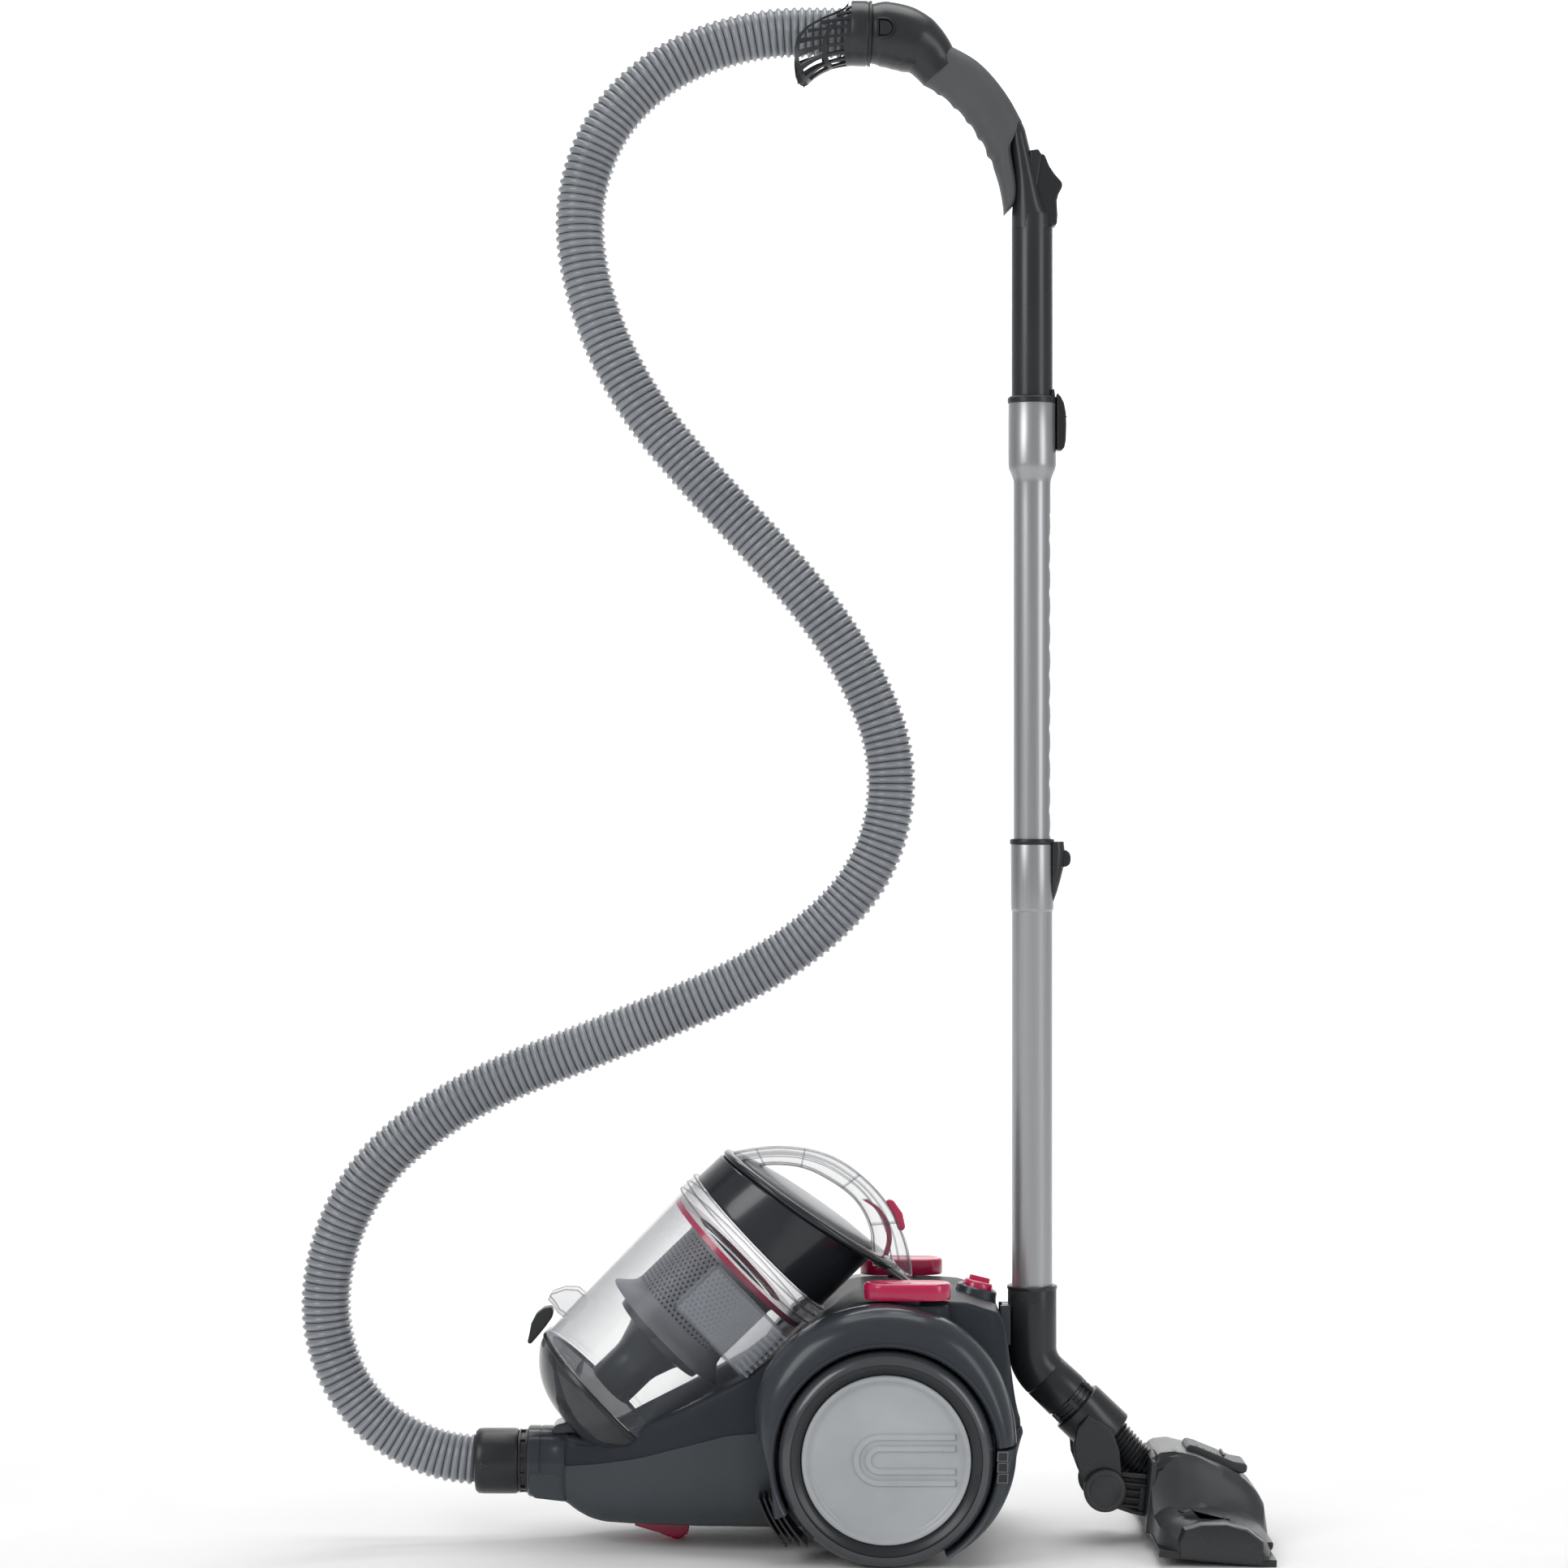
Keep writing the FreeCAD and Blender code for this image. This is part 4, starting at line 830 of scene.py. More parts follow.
def make_cyclone():
    perforated("shroud_mesh", 48.9, -70, -8, 64, 15, "mesh", "bin", BIN)
    # Dark cylinder just inside the mesh so its holes read dark: painted shade behind the holes.
    lathe("shroud_shade_backing", [(44.5, -72), (45.5, -72), (45.5, -4), (44.5, -4)], "ring", "bin", BIN)
    caps = [(45, -9), (49.6, -9), (49.6, -4), (45, -4)]
    lathe("shroud_top", caps, "mesh", "bin", BIN)
    skirt = [(45, -70), (49.4, -70), (50, -74), (55, -80), (62, -86.4), (62.2, -88), (60.4, -88.4),
             (54, -82.4), (48, -78.6), (45, -77)]
    lathe("shroud_skirt", skirt, "mesh", "bin", BIN, replaces=["shroud"], sharp=60)
    cone = [(44.5, -74), (45.4, -90), (44, -97), (38, -98.4), (30, -99), (27, -105), (22, -120),
            (21, -126), (21, -154), (19.5, -155.5), (18, -154), (18, -126), (26, -97), (40, -94)]
    lathe("cyclone_cone", cone, "satin", "bin", BIN, sharp=50)
    for k in range(12):
        spin = spun(BIN, 2 * math.pi * k / 12)
        fin = [(24, -100), (34, -98.6), (43.5, -96), (43.5, -91), (24, -91)]
        slab(f"cone_fin_{k}", fin, -0.8, 0.8, "mesh", "bin", spin, bevel=0.3)


def lid_level(radius, turn):
    """Height along the bin's axis where the lid's plane cuts a radius."""
    return 54.2 + 0.206 * (75.3 + radius * math.cos(turn))


def make_cover():
    turns = circle_turns(96)
    sections = [[(r * math.cos(t), r * math.sin(t), u) for t in turns]
                for r, u in ((73, 25.8), (76.4, 25.8), (77, 27), (76.6, 29))]
    for r, drop in ((76.2, 1.2), (74.5, -0.2), (60, -0.2)):
        sections.append([(r * math.cos(t), r * math.sin(t), lid_level(r, t) - drop) for t in turns])
    loft("bin_cover_wall", sections, "cover", "bin", place=BIN, replaces=["bin_cover"], sharp=35)
    rim = [(88, 86, 75, 0.2), (89, 89.5, 77.6, 1.4), (89, 90, 78, 3.6), (89, 88.6, 76.6, 6),
           (89, 85, 73, 7.2), (86, 73, 64, 6.6), (84.5, 69.5, 61, 5), (84, 68.4, 60.2, 3.4)]
    ovals("bezel_rim", rim, "cover", "bin", LID, replaces=["top_bezel"], sharp=60)
    tail = [(150, 34, 3.8), (172, 33, 4.2), (186, 31, 3.8), (197, 27, 2.6), (200, 24, 1.2)]
    sections = [[(x, y * half, z) for y, z in
                 ((-1, -1), (-1.0, thick * .4), (-.93, thick * .9), (-.5, thick * 1.1), (0, thick * 1.2),
                  (.5, thick * 1.1), (.93, thick * .9), (1, thick * .4), (1, -1))]
                for x, half, thick in tail]
    loft("bezel_tail", sections, "cover", "bin", place=LID, sharp=60)
    dome = [(84, 67.6, 59.4, 3.2), (84, 67.8, 59.6, 6.2), (84, 66.6, 58.4, 8.4), (84, 62, 54, 9.8),
            (84, 50, 43, 11.2), (84, 30, 26, 12), (84, 10, 9, 12.2)]
    ovals("lid_dome", dome, "silver", "bin", LID, replaces=["top_lid"], sharp=60)
    lathe("filter_block", [(12, 27), (59, 27), (60, 29), (60, 46), (58, 48), (12, 48)], "filter",
          "bin", BIN, replaces=["motor_filter"])


HANDLE_TOP = [(-140, 329), (-126, 333.5), (-105, 337), (-84.4, 338), (-60, 335), (-38.6, 327.4),
              (-20, 315), (-4.3, 300.2), (8, 284), (15.7, 268.8), (21.5, 254), (25, 238), (26, 226)]
HANDLE_UNDER = [(-124, 324), (-113, 319.6), (-95, 321.5), (-75.7, 320.3), (-61, 316), (-47.2, 308.8),
                (-35, 301), (-24.5, 291.6), (-16, 279), (-10.5, 264), (-10, 252), (-9, 243), (-8, 235)]


def make_handle():
    count = 44
    upper = spread([(x, 0, z) for x, z in HANDLE_TOP], count)
    under = spread([(x, 0, z) for x, z in HANDLE_UNDER], count)
    sections = [squared_oval(a, b, 10, 0.55, 24) for a, b in zip(upper, under)]
    loft("handle_arch", sections, "arch", "bin", replaces=["bin_handle"], sharp=60)
    spine = [(a * 0.68 + b * 0.32) for a, b in zip(upper, under)]
    rail = [[p + Vector((0, y, 0)) + (a - b).normalized() * z for y, z in
             ((-6, -1), (-6, 1), (6, 1), (6, -1))] for p, a, b in zip(spine, upper, under)]
    loft("handle_rail", rail, "thick", "bin", sharp=40)
    for name, share, half in (("outer", 0.93, 9), ("middle", 0.5, 9.6), ("inner", 0.09, 8.6)):
        line = [a * share + b * (1 - share) for a, b in zip(upper, under)]
        for side in (-1, 1):
            cord = [p + Vector((0, side * half, 0)) for p in line]
            tube(f"handle_line_{name}_{side + 1}", cord, 0.55, "thick", "bin", segments=10)
    for k in (6, 14, 24, 34):
        a, b = upper[k] * 0.94 + under[k] * 0.06, under[k] * 0.94 + upper[k] * 0.06
        along = (upper[k + 1] - upper[k - 1]).normalized() * 0.6
        web = [(p.x, p.z) for p in (a - along, a + along, b + along, b - along)]
        slab(f"handle_web_{k}", web, -7, 7, "thick", "bin", bevel=0.2)
    lever = spread([(-15, 0, 292), (-4, 0, 284), (4, 0, 271), (6, 0, 257), (3, 0, 244)], 18)
    strip = [[p + Vector((0, y, 0)) + Vector((x, 0, 0)) for x, y in
              ((-2.2, -5), (2.2, -5), (2.2, 5), (-2.2, 5))] for p in lever]
    loft("release_lever", strip, "red", "bin", sharp=50)
    button = [(13.5, 266), (17.5, 265), (20, 268), (17.5, 280), (9.5, 291.5), (5, 292.5), (3, 290),
              (9, 280)]
    slab("release_pad", button, -6, 6, "red", "bin_release", replaces=["release_button"], bevel=1.6)


def make_flap():
    place = BIN @ Matrix.Translation((FLAP_SHIFT, 0, 0))
    dish = [(0.01, -202), (10, -201.8), (21, -201), (33, -198.8), (42.5, -196), (52, -191.4),
            (60, -185.6), (66.4, -179.4), (71, -174), (74, -169.4), (75.4, -165), (75.6, -161),
            (74.4, -160.5), (69, -160.6), (66.6, -168), (56, -183), (40, -192.5), (20, -197.5),
            (0.01, -198.5)]
    lathe("flap_dish", dish, "smoke", "flap", place, steps=96, replaces=["bin_flap"], sharp=50)
    lathe("flap_ring", [(75.7, -165), (76.5, -164.4), (76.5, -161.2), (75.7, -160.8)], "ring", "flap",
          place, steps=96)
    for k in range(5):
        spin = spun(place, math.radians(60 + 60 * k))
        rib_line = [(28, -196.4), (42, -191.4), (54, -183.4), (65, -168), (65, -162), (56, -168),
                    (42, -182), (28, -188)]
        slab(f"dish_rib_{k}", rib_line, -0.9, 0.9, "smoke", "flap", spin, bevel=0.3)
    latch = [(-84.3, -142.6), (-88, -148), (-89, -156), (-86, -165), (-81, -172), (-76.4, -179),
             (-73.4, -177.6), (-74.4, -166), (-75.4, -158), (-77, -149), (-80, -144)]
    slab("latch_lever", latch, -9, 9, "black", "latch", BIN, replaces=["flap_latch"], bevel=2)
    hood = [(-70.8, -140), (-77, -141.4), (-84, -139.6), (-91, -139.4), (-92.2, -134), (-87, -123),
            (-79, -115.6), (-71.8, -115)]
    slab("latch_hood", hood, -13, 13, "arch", "bin", BIN, bevel=1.2)
    for side in (-1, 1):
        edge = [(x, side * 13, z) for x, z in hood]
        tube(f"latch_edge_{side + 1}", edge, 0.6, "thick", "bin", segments=10, place=BIN)


make_cup()
make_cyclone()
make_cover()
make_handle()
make_flap()


# ---- hose cuff and the guard at the handle --------------------------------------------

def make_cuff():
    place = standing((0, 0, INLET.z), (1, 0, 0))
    shell = [(22, -349.6), (25.6, -349.8), (27.6, -347.4), (28, -343), (28, -316), (27, -313.6),
             (25.2, -313), (25.2, -303.8), (24.1, -303.4), (24.1, -290), (22.2, -290), (22, -336)]
    lathe("cuff_shell", shell, "black", "cuff", place, replaces=["hose_cuff"], sharp=35)
    for k, x in enumerate((-311.6, -306)):
        lathe(f"cuff_hoop_{k}", [(25, x - 0.9), (27.2, x - 0.7), (27.2, x + 0.7), (25, x + 0.9)],
              "black", "cuff", place)
    for k in range(10):
        turn = spun(place, 2 * math.pi * k / 10)
        block(f"cuff_bar_{k}", (24.8, -1.6, -312), (27, 1.6, -304.4), "black", "cuff", turn,
              bevel=0.4)
    for k in (0, 1):
        turn = spun(place, math.radians(90 + 180 * k))
        face = turn @ standing((27.6, 0, -341), (1, 0, 0))
        stadium_stack(f"cuff_window_{k}", [(4.4, 2.6, -0.4), (4.4, 2.6, 0.7), (4, 2.2, 1)], "satin",
                      "cuff", face)
        stadium_stack(f"cuff_pin_{k}", [(3, 1.3, -0.4), (3, 1.3, 1.3)], "ring", "cuff", face)


WAND = Vector((middle("lower_tube").x, 0, 0))
HOSE_END = joint_point("guard_swivel")
HOSE_LINE = joint_axis("guard_swivel")
GUARD = standing(HOSE_END, HOSE_LINE)
GUARD_FOOT = 12
GUARD_WALL = 2.4
GUARD_EDGE = [(0, 18), (35, 18.6), (50, 22), (62, 30), (75, 42), (90, 53), (107, 61), (125, 63.5),
              (140, 62), (155, 57), (168, 52), (180, 50)]


def guard_edge(turn):
    """How far the scoop reaches along the hose at an angle round it; 0 is the hose's top."""
    return read_off(GUARD_EDGE, math.degrees(math.pi - abs(math.pi - turn % (2 * math.pi))))


def guard_flare(turn, reach):
    """Radius of the scoop: it bells outward below the hose."""
    under = ((1 - math.cos(turn)) / 2) ** 5
    return 27.6 + 15 * under * (reach / 48) ** 3


def guard_point(turn, reach, sink=0.0):
    r = guard_flare(turn, reach) - sink
    return (r * math.cos(turn), r * math.sin(turn), reach)


def guard_strip(name, corners, turns, **options):
    """Strip round the scoop; its corners are (share of the way to the edge, sink)."""
    rows = [[guard_point(t, GUARD_FOOT + (guard_edge(t) - GUARD_FOOT) * share, sink) for t in turns]
            for share, sink in corners]
    loft(name, rows + rows[:1], "satin", "guard", caps=False, place=GUARD, sharp=40, **options)


def make_guard():
    """Collar round the hose with a slotted scoop below it."""
    collar = [(22.6, 0.6), (27.4, 0.6), (28, 2), (28, 14), (27.2, 15.4), (22.8, 15.4)]
    lathe("guard_collar", collar, "satin", "guard", GUARD, replaces=["hose_guard"], sharp=35)
    turns = circle_turns(96)
    wall = GUARD_WALL
    guard_strip("guard_rim", ((1, 0), (1, wall), (0.93, wall), (0.93, 0)), turns)
    guard_strip("guard_band", ((0, 0), (0, wall), (0.16, wall), (0.16, 0)), turns)
    for k in range(18):
        turn = math.radians(44 + 16 * k)
        lean = math.radians(14) * (1 if k < 9 else -1)
        edge = guard_edge(turn) - GUARD_FOOT
        sections = []
        for step in range(9):
            share = 0.1 + 0.86 * step / 8
            t = turn + lean * (share - 0.5)
            wide = 0.062 - 0.02 * math.sin(math.pi * step / 8)
            reach = GUARD_FOOT + edge * share
            sections.append([guard_point(t - wide, reach), guard_point(t + wide, reach),
                             guard_point(t + wide, reach, wall), guard_point(t - wide, reach, wall)])
        loft(f"guard_slat_{k}", sections, "satin", "guard", place=GUARD, sharp=40)
    arc = [math.radians(60 + 5 * n) for n in range(49)]
    guard_strip("guard_hoop", ((0.46, 0.2), (0.54, 0.2), (0.54, 2.2), (0.46, 2.2)), arc,
                closed_loop=False)


# ---- handle ---------------------------------------------------------------------------

ELBOW_LINE = [(HOSE_END.x + 2.2, 1297.1), (2, 1296.6), (15, 1293.8), (27, 1288.6), (38, 1280.6),
              (46.5, 1270), (51, 1264.4)]
GRIP_TOP = [(57, 1287), (69, 1281), (80.5, 1274), (91, 1264.6), (101, 1253), (111, 1238.5),
            (120.6, 1221)]
GRIP_BACK = [(120.6, 1221), (115, 1215), (112, 1207), (111, 1197), (113, 1184), (115.5, 1169),
             (115.6, 1158), (113, 1149), (105, 1141)]
FINGERS = [(36, 1252.6), (44, 1248.4), (48, 1244.6), (51.6, 1243.6), (58, 1238), (61.6, 1233.2),
           (65, 1231.6), (70, 1226), (73, 1220.6), (76.4, 1218.4), (80, 1212.6), (82.4, 1206.6),
           (86, 1204), (89, 1198), (90.4, 1191.6), (94, 1188), (96, 1181), (97.4, 1177)]
GRIP_FOOT = [(96, 1181), (98.4, 1174), (101, 1165), (103.4, 1153), (105, 1141)]


def elbow_radius(reach):
    stations = [0, 3, 10, 28, 42, 54, 66, 72]
    radii = [25.4, 26, 28, 28.2, 26.4, 22.6, 20, 19.6]
    return float(np.interp(reach, stations, radii))


def make_elbow():
    path = spread([(x, 0, z) for x, z in ELBOW_LINE], 36)
    tube("elbow_skin", path, elbow_radius, "satin", "wand_top", segments=64,
         replaces=["handle_elbow"], sharp=50)
    seam = [(28.2, -2.4), (28.2, -0.4), (27.6, 0.3), (24, 0.3), (24, -2.4)]
    lathe("elbow_lip", seam, "black", "wand_top", GUARD, sharp=40)
    centre = middle("hose_button")
    face = Matrix.Translation((centre.x, 0, centre.z)) @ Matrix.Rotation(math.radians(90), 4, "X")
    letter = [(-7, -9), (-7, 9)] + [(-1 + 9.5 * math.cos(t), 9 * math.sin(t))
                                    for t in np.linspace(math.pi / 2, -math.pi / 2, 13)]
    rims = ((1.0, 26.6), (1.0, 29.2), (0.93, 30.2), (0.8, 30.2), (0.78, 29.2), (0.76, 27))
    rings = [[(x * f, z * f, h) for x, z in letter] for f, h in rims]
    loft("button_frame", rings, "black", "wand_top", caps=False, place=face, sharp=35)
    press = [[(x * f, z * f, h) for x, z in letter]
             for f, h in ((0.72, 24), (0.72, 28.6), (0.66, 29.4), (0.3, 29.8))]
    loft("button_press", press, "satin", "hose_release", place=face, replaces=["hose_button"],
         sharp=35)


def rounded_bar(name, upper, under, half_width, finish, body, count, power, **options):
    """Bar between two lines; its half width is a function of the share along it."""
    a_line = spread([(x, 0, z) for x, z in upper], count)
    b_line = spread([(x, 0, z) for x, z in under], count)
    sections = [squared_oval(a, b, half_width(k / (count - 1)), power, 28)
                for k, (a, b) in enumerate(zip(a_line, b_line))]
    return loft(name, sections, finish, body, sharp=60, **options)


def make_grip():
    rounded_bar("grip_body", GRIP_TOP, FINGERS, lambda s: 18.6 - 1.4 * s, "grip", "wand_top", 72,
                0.86, replaces=["hand_grip"])
    rounded_bar("grip_tongue", GRIP_BACK, GRIP_FOOT, lambda s: 17.4 - 1.6 * s, "grip",
                "wand_top", 40, 0.8)
    core_top = [(108, 1238), (121.4, 1218.6), (126, 1203), (130, 1187), (134.6, 1169),
                (139.6, 1151), (145, 1138), (147, 1128)]
    core_under = [(100, 1222), (108, 1208), (110.4, 1196), (112, 1182), (113, 1168), (112.6, 1152),
                  (111.6, 1138), (111.6, 1128)]
    rounded_bar("handle_back", core_top, core_under,
                lambda s: 7 + 8.6 * min(1, s / 0.22) + 1.9 * s, "satin", "wand_top",
                30, 0.9, replaces=["handle_core"])


def make_slider():
    plate_line = [(128, 1191), (131, 1193.4), (139.6, 1191.6), (143.4, 1182), (148, 1175),
                  (154.6, 1167.6), (155, 1164), (151.6, 1158), (150, 1152), (150.6, 1139),
                  (150.2, 1131.6), (147.6, 1130.4), (139, 1131.4), (136.4, 1138), (131.4, 1163)]
    slab("slider_cap", plate_line, -11, 11, "black", "air_control", replaces=["air_slider"],
         bevel=2.2)
    pad = [(126.4, 1195), (134, 1196), (137, 1191), (133, 1164), (138.6, 1131), (137, 1128.6),
           (133, 1131), (128, 1160)]
    slab("slider_seat", pad, -12.6, 12.6, "satin", "wand_top", bevel=1.4)


def make_handle_tube():
    place = standing((WAND.x, 0, 0))
    tube_wall = [(15.8, 984), (17.75, 984), (17.75, 1138), (17.2, 1141), (15.8, 1141)]
    lathe("handle_tube_skin", tube_wall, "satin", "wand_top", place, replaces=["handle_tube"],
          sharp=35)
    ring = [(16, 977.8), (20.4, 977.8), (21.2, 978.6), (21.2, 982.4), (20.4, 983.4), (18.8, 984.4),
            (16, 984.4)]
    lathe("handle_ring", ring, "black", "wand_top", place, sharp=35)


def notched(z, turn):
    """Radius of the upper tube, with shallow click notches down its rear side."""
    base = 16
    if 604 < z < 884 and abs(turn) < 0.5:
        wave = abs(math.sin(math.pi * (z - 604) / 23.4)) ** 0.6
        base -= 1.5 * (1 - wave) * math.cos(turn / 0.5 * math.pi / 2)
    return base


def make_wand():
    steps = 64
    levels = [560] + list(np.arange(604, 886, 2.0)) + [890, 909, 911.5, 914, 918, 921.5, 924, 926,
                                                       977.6, 978.2]
    flare = {911.5: 0.2, 914: 1, 918: 2.5, 921.5: 4, 924: 4.5, 926: 4.65, 977.6: 4.65, 978.2: 4.2}
    sections = []
    for z in levels:
        section = []
        for k in range(steps):
            turn = 2 * math.pi * k / steps
            turn -= 2 * math.pi if turn > math.pi else 0
            r = notched(z, turn) + flare.get(z, 0)
            section.append((WAND.x + r * math.cos(turn), r * math.sin(turn), z))
        sections.append(section)
    loft("upper_tube_skin", sections, "tube", "wand_top", replaces=["upper_tube"], sharp=40)
    place = standing(WAND)
    tube_wall = [(16.4, 190), (17.5, 190), (17.5, 540), (17.7, 541), (16.4, 541)]
    lathe("lower_tube_skin", tube_wall, "tube", "wand_bottom", place, replaces=["lower_tube"])
    sleeve = [(17.4, 540), (17.9, 540.6), (18.4, 543), (18.5, 597), (18, 598.6), (17.2, 598.8)]
    lathe("sleeve_skin", sleeve, "tube", "wand_bottom", place, replaces=["tele_sleeve"], sharp=40)
    ring = [(16.6, 598), (19, 598), (19.2, 598.6), (19.2, 601.6), (18.6, 602.6), (16.6, 602.8)]
    lathe("wand_collar", ring, "black", "wand_bottom", place, replaces=["wand_ring"], sharp=40)
    drop = [(0, 1), (0.18, 1), (0.42, 0.99), (0.62, 0.93), (0.78, 0.78), (0.9, 0.55), (0.98, 0.24),
            (1, 0.04)]
    sections = []
    for share, wide in drop:
        z = 600.4 - 56 * share
        depth = float(np.interp(z, [545, 560, 580, 592, 600], [146.4, 152, 157, 158, 156.6]))
        half = 10.4 * wide
        section = []
        for n in range(17):
            t = math.pi * n / 16
            section.append((WAND.x + 16.8 + (depth - WAND.x - 16.8) * math.sin(t) ** 0.7,
                            -half * math.cos(t), z))
        sections.append(section)
    loft("button_housing", sections, "satin", "wand_bottom", sharp=40)
    press = [(155, 578), (159.6, 579), (161.6, 581), (162.4, 584), (162.4, 588), (161.2, 591),
             (158.6, 593), (155, 593.4)]
    slab("button_nub", press, -5, 5, "satin", "tube_release", replaces=["tele_button"], bevel=1.4)


def make_latch():
    side = [(149.8, 937.6), (154.6, 937), (156.8, 940), (158, 946), (158.4, 960), (158, 970),
            (156.4, 978), (154, 983), (150.6, 987), (149.8, 984)]
    slab("latch_cap", side, -8.6, 8.6, "black", "wand_release", replaces=["wand_latch"], bevel=1.8)
    slab("latch_seam", [(150.2, 965.6), (158.7, 965.6), (158.7, 966.6), (150.2, 966.6)], -8.8, 8.8,
         "ring", "wand_release", bevel=0.2)
    seat = [(145, 935), (148.6, 935), (148.6, 984), (148, 990), (146, 989.6), (145, 984)]
    slab("latch_seat", seat, -9.4, 9.4, "satin", "wand_top", bevel=0.8)


make_cuff()
make_guard()
make_elbow()
make_grip()
make_slider()
make_handle_tube()
make_wand()
make_latch()

# ---- neck -----------------------------------------------------------------------------

SWIVEL = joint_point("neck_swivel")
NECK_LINE = joint_axis("neck_swivel")
NECK = standing(SWIVEL, NECK_LINE)
BEND_RADIUS = 34
NECK_LEAN = 46.5
PIVOT = joint_point("head_pitch")


def make_neck():
    bend = [Vector((WAND.x + BEND_RADIUS * (1 - math.cos(t)), 0, 165 - BEND_RADIUS * math.sin(t)))
            for t in np.linspace(0, math.radians(NECK_LEAN), 15)]
    path = [Vector((WAND.x, 0, 217)), Vector((WAND.x, 0, 214)), Vector((WAND.x, 0, 190))] + bend
    tube("neck_elbow_skin", path, lambda reach: 20.4 if reach < 1 else 21, "satin", "wand_bottom",
         segments=64, replaces=["neck_elbow"], sharp=40)
    lip = [(17.7, 214.6), (21.2, 214.6), (21.6, 215.6), (21.6, 217.4), (20.8, 218.2), (17.7, 218.2)]
    lathe("neck_lip", lip, "satin", "wand_bottom", standing(WAND), sharp=40)
    hook = [(105, 174), (109.4, 172), (112, 172), (112, 202), (103, 202), (103, 199), (107, 198)]
    slab("parking_hook", hook, -9, 9, "satin", "wand_bottom", bevel=1.2)
    collar = [(16, 0.5), (20.6, 0.5), (21, 1.2), (21.6, 26), (20.8, 26.8), (19.6, 27.2), (19.6, 29.6),
              (21, 30), (21, 31.4), (19.6, 31.8), (19.6, 34.2), (21.4, 34.6), (21.4, 36), (19.8, 36.4),
              (19.8, 37.6), (23, 38), (24.4, 39), (24.5, 42), (24.5, 75), (24, 76), (21, 76),
              (20, 70), (17, 62)]
    lathe("neck_collar_skin", collar, "satin", "neck", NECK, replaces=["neck_collar"], sharp=35)
    for k in range(6):
        turn = spun(NECK, math.radians(30 + 60 * k))
        block(f"collar_bridge_{k}", (19.4, -2, 27), (22.8, 2, 37.8), "satin", "neck", turn, bevel=0.5)
    ear = [(176, 110), (166, 99), (163, 86), (164.4, 71), (170, 56), (177, 41), (183, 34.5),
           (190, 32.2), (197, 34.6), (202.4, 41), (205, 52), (204, 66), (202.4, 80), (196, 96)]
    both_sides("yoke_ear", ear, 24.6, 29.6, "satin", "neck", nodes=["joint_yoke"], bevel=1.6)
    web = [(184, 106), (173, 98), (170, 84), (176, 70), (190, 74), (200, 84), (197, 98)]
    both_sides("yoke_web", web, 19, 27, "satin", "neck", bevel=2.5)
    softened("pivot_pin", "steel", "neck", 0.5)


def make_rollers():
    for side in (-1, 1):
        place = standing(PIVOT, (0, side, 0))
        wheel = [(3.1, 30.6), (16.4, 30.6), (17.8, 31.4), (18.2, 32.6), (18.2, 36), (17.4, 37.6),
                 (16, 38.2), (14.6, 38.3), (13.8, 37.9), (13, 37.6), (3.1, 37.6)]
        lathe(f"roller_{side + 1}", wheel, "head", "neck_wheels", place, steps=96, sharp=35,
              replaces=["joint_rollers"] if side > 0 else [])
        lathe(f"roller_cap_{side + 1}", [(0.01, 37.4), (3.4, 37.4), (13, 37.5), (13, 37.9),
                                         (12.4, 38.2), (0.01, 38.3)], "head", "neck_wheels", place,
              sharp=50)


# ---- floor head -----------------------------------------------------------------------

HEAD = tilted(PIVOT, 5)
SOLE = -34.7
HALF_HEAD = 134


def head_top(x, y):
    """Height of the head's skin in its own frame: a dome in the middle, lower wings."""
    across = abs(y)
    dome = read_off([(36, 31), (44, 37), (56, 39.4), (76, 37), (100, 29), (118, 20.6), (130, 10.6),
                     (137, 0), (140.6, -9), (141, -20)], x)
    wing = read_off([(36, -14), (42, -8), (52, -3.4), (84, -2.6), (110, -5), (126, -9.4),
                     (135, -16), (141, -26)], x)
    shoulder = 50 - 9 * max(0, (x - 60) / 80)
    blend = max(0.0, min(1.0, (across - shoulder + 12) / 24))
    blend = blend * blend * (3 - 2 * blend)
    height = dome * (1 - blend) + wing * blend
    drop = max(0, across - 112) / 22
    return height - 7 * drop ** 2


def head_front(y):
    return 141 - 10 * (abs(y) / HALF_HEAD) ** 2.4


def head_rear(y):
    return 36 + 5 * min(1, max(0, (abs(y) - 46) / 14)) + 16 * max(0, (abs(y) - 100) / 34) ** 2


def make_head_cover():
    sections = []
    sides = [HALF_HEAD * math.sin(math.pi / 2 * k / 44) for k in range(-44, 45)]
    skirt = SOLE + 5
    for y in sides:
        rear, front = head_rear(y), head_front(y)
        section = [(rear + 2.4, y, skirt), (rear, y, skirt + 1)]
        for k in range(25):
            share = k / 24
            x = rear + (front - rear) * share
            source = 36 + (141 - 36) * share
            section.append((x, y, max(skirt + 3, head_top(source, y))))
        section += [(front, y, skirt + 1), (front - 2.4, y, skirt)]
        sections.append(section)
    loft("head_cover_skin", sections, "head", "head", place=HEAD,
         replaces=["head_cover"], sharp=24)


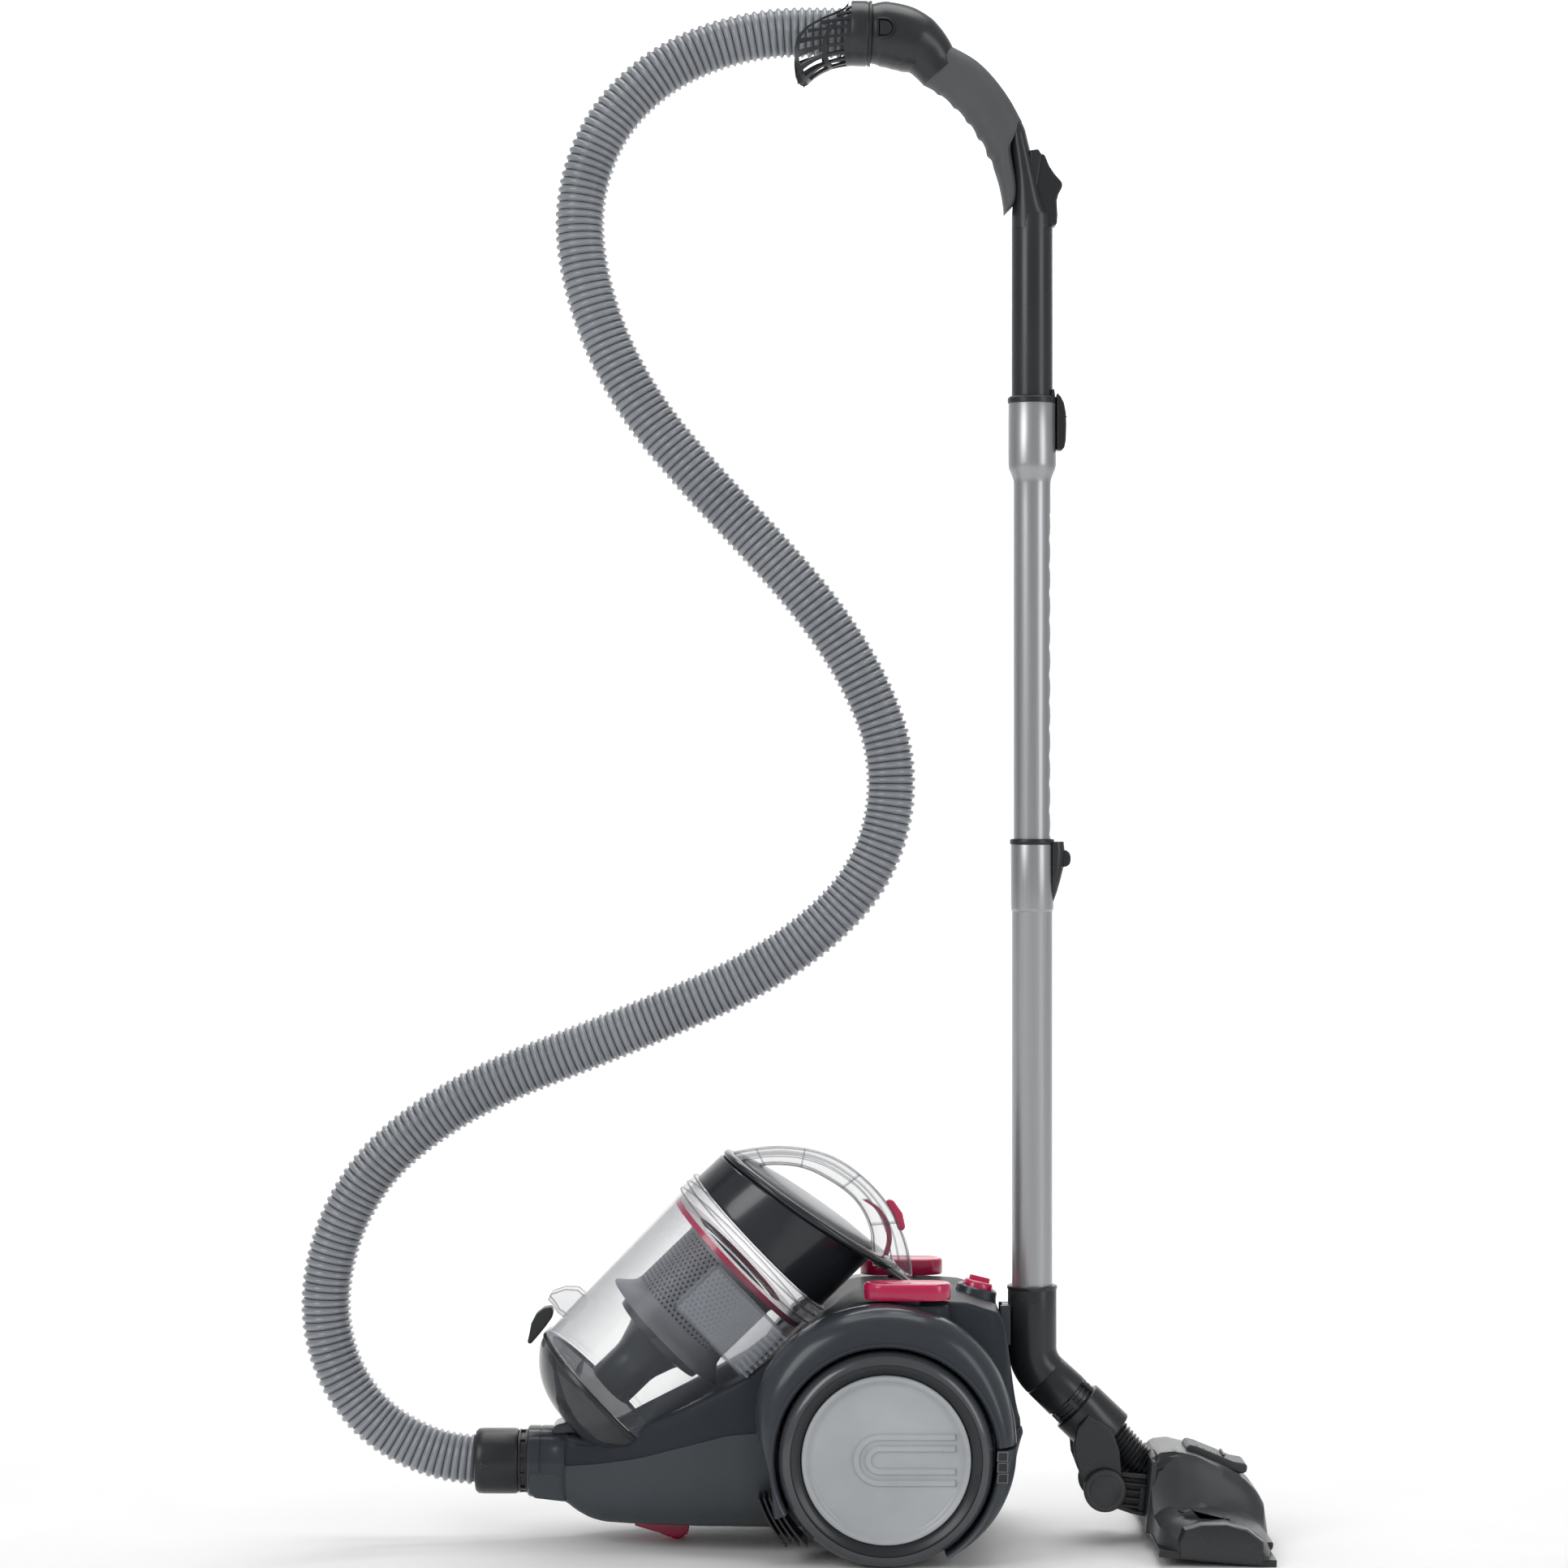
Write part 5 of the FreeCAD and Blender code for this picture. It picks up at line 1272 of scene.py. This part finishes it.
def make_head():
    make_head_cover()
    crest = []
    for y in np.linspace(-47, 47, 25):
        row = []
        for share in np.linspace(0, 1, 15):
            x = 40 + (96 - 40 - 0.022 * y * y) * share
            row.append((x, y, head_top(x, y) + 0.9 - 0.9 * share ** 4 - 0.6 * (abs(y) / 47) ** 4))
        crest.append(row)
    loft("head_crest", crest, "satin", "head", caps=False, closed_loop=False, place=HEAD,
         thickness=2.6)
    back = [(36, SOLE + 4), (36, 30), (38.6, 31.6), (41, 30), (41, SOLE + 4)]
    slab("head_back", back, -50, 50, "head", "head", HEAD, bevel=1.2)
    cap = [(56, SOLE + 2), (54, SOLE + 16), (58, SOLE + 26), (72, SOLE + 31), (94, SOLE + 33),
           (112, SOLE + 29), (126, SOLE + 20), (129, SOLE + 8), (128, SOLE + 2)]
    for side in (-1, 1):
        rows = []
        for y, shrink, lift in ((112, 0.0, 0), (126, 0.0, 0), (132, 0.5, -0.4), (134.6, 2.4, -1.6),
                                (135, 5, -3)):
            centre = 92
            rows.append([(centre + (x - centre) * (1 - shrink / 36), side * y,
                          max(SOLE + 2, z + lift * (1 if z > SOLE + 4 else 0))) for x, z in cap])
        loft(f"head_cap_{side + 1}", rows, "satin", "head", place=HEAD, sharp=35)
    groove = [(60, SOLE + 34), (66, SOLE + 36), (82, SOLE + 22), (100, SOLE + 30), (98, SOLE + 35),
              (82, SOLE + 27)]
    both_sides("head_crease", groove, 100, 113, "head", "head", HEAD, bevel=1.5)
    slab("sole_rim", [(58, SOLE), (56, SOLE + 5), (131, SOLE + 5), (130, SOLE)], -134, 134, "black",
         "head", HEAD, bevel=1)
    softened("sole_plate", "black", "head", 0.6)
    bumper = [(131, SOLE + 5), (136, SOLE + 5), (139, SOLE + 9), (139, SOLE + 14), (131, SOLE + 14)]
    slab("head_bumper", bumper, -96, 96, "black", "head", HEAD, bevel=1.6)
    softened("brush_strips", "bristle", "brushes", 0.2)
    pedal = [(67, 35), (68, 41.5), (70.6, 43.4), (77, 42.2), (94, 37), (109, 32), (118.4, 31.2),
             (121.4, 29.4), (121, 24), (117, 22), (94, 28), (76, 33)]
    slab("floor_pedal", pedal, -20, 20, "head", "floor_pedal", HEAD, replaces=["head_pedal"],
         bevel=1.6)
    for k in range(5):
        block(f"pedal_rib_{k}", (76 + 6 * k, -15, 37), (78 + 6 * k, 15, 42.6 - 1.9 * k), "head",
              "floor_pedal", HEAD, bevel=0.5)


def make_fork():
    outline = [(-13, 0), (-10, 10), (0, 14.6), (10, 15), (36, 14.6), (36, 10.6), (12, 11), (4, 9),
               (-6, 6), (-8, 0), (-6, -8), (4, -11), (12, -12), (30, -17), (36, -17), (36, -21),
               (26, -20), (10, -16), (-4, -13.4), (-11, -9)]
    both_sides("fork_frame", outline, 17, 22, "satin", "head", HEAD, ["fork_arm"], bevel=0.8)
    for side in (-1, 1):
        hub = standing(PIVOT, (0, side, 0))
        lathe(f"fork_hub_{side + 1}", [(3.1, 17), (13.4, 17), (13.4, 21.6), (12.6, 22.2), (3.1, 22.2)],
              "satin", "head", hub, sharp=35)
        for k in range(4):
            z = 7 - 6.4 * k
            slab(f"fork_bar_{side + 1}_{k}", [(9, z), (36, z - 0.8), (36, z - 3), (9, z - 2.2)],
                 side * 17.6, side * 21.4, "satin", "head", HEAD, bevel=0.4)
    web = [(8, 10), (36, 9), (36, -19), (28, -18), (8, -11)]
    both_sides("fork_web", web, 15, 16.8, "black", "head", HEAD, bevel=0.4)
    slab("fork_bridge", [(31, -17), (36, -17), (36, 4), (31, 4)], -21, 21, "satin", "head", HEAD,
         bevel=0.8)


def make_bellows():
    top = SWIVEL + NECK_LINE * 68
    foot = Vector((238, 0, 57))
    path = spread([top, SWIVEL + NECK_LINE * 78, (212, 0, 72), (224, 0, 63), foot], 120)
    reach_all = sum((b - a).length for a, b in zip(path, path[1:]))

    def fold(reach):
        share = reach / reach_all
        return 18.4 - 5.4 * share + 1.5 * math.cos(2 * math.pi * reach / 4.1)

    sleeve = tube("bellows_skin", path, fold, "black", None, segments=48, replaces=["bellows"],
                  sharp=80)
    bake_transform(sleeve)


make_neck()
make_rollers()
make_head()
make_fork()
make_bellows()

# ---- floor, backdrop and light --------------------------------------------------------

def make_stage():
    material, tree, shader, place = new_material("floor")
    haze = add_node(tree, "ShaderNodeTexNoise", {"Vector": place.outputs["Object"], "Scale": 3})
    tone = ramp(tree, haze.outputs["Fac"], [(0.3, (0.86, 0.86, 0.86)), (0.7, (0.9, 0.9, 0.9))])
    tree.links.new(tone, shader.inputs["Base Color"])
    shader.inputs["Roughness"].default_value = 0.7
    reach, bend_start, bend_radius, wall_height = 6.0, 2.2, 1.0, 5.0
    depth = [(-reach, 0.0), (bend_start, 0.0)]
    depth += [(bend_start + bend_radius * math.sin(t), bend_radius - bend_radius * math.cos(t))
              for t in np.linspace(0.1, math.pi / 2, 14)]
    depth.append((bend_start + bend_radius, wall_height))
    points = [(x, y, z) for y, z in depth for x in (-reach, reach)]
    mesh = bpy.data.meshes.new("floor")
    mesh.from_pydata(points, [], ring_faces(len(depth), 2, False))
    mesh.shade_smooth()
    mesh.materials.append(material)
    add_object("floor", mesh)


def lamp(name, place, target, power, wide, high_side):
    data = bpy.data.lights.new(name, "AREA")
    data.shape = "RECTANGLE"
    data.size = wide
    data.size_y = high_side
    data.energy = power
    made = add_object(name, data)
    made.location = place
    aim = Vector(target) - Vector(place)
    made.rotation_euler = aim.to_track_quat("-Z", "Y").to_euler()


make_stage()
lamp("key", (-2.6, -2.6, 2.4), (0, 0, 0.5), 48, 1.6, 2.4)
lamp("fill", (2.8, -2.2, 1.6), (0, 0, 0.5), 26, 1.2, 2.6)
lamp("top", (0, 0.4, 3.4), (0, 0, 0.3), 36, 2.4, 1.6)
lamp("back", (0.5, 2.0, 2.6), (0, 3.2, 1.0), 60, 3.0, 1.0)
world = bpy.data.worlds.new("studio")
world.use_nodes = True
world.node_tree.nodes["Background"].inputs["Color"].default_value = (1, 1, 1, 1)
world.node_tree.nodes["Background"].inputs["Strength"].default_value = 0.42
bpy.context.scene.world = world
bpy.context.scene.view_settings.view_transform = "Standard"

# ---- finish ---------------------------------------------------------------------------

FINISH_OF_SLOT = {slot: material for material, slot in reversed(FINISHES.values())}
slots = {row["node"]: row["material_slot"] for row in frame["record"]["subparts"]}
for name, node in frame["nodes"].items():
    node.data.materials.clear()
    node.data.materials.append(FINISH_OF_SLOT[slots[name]])
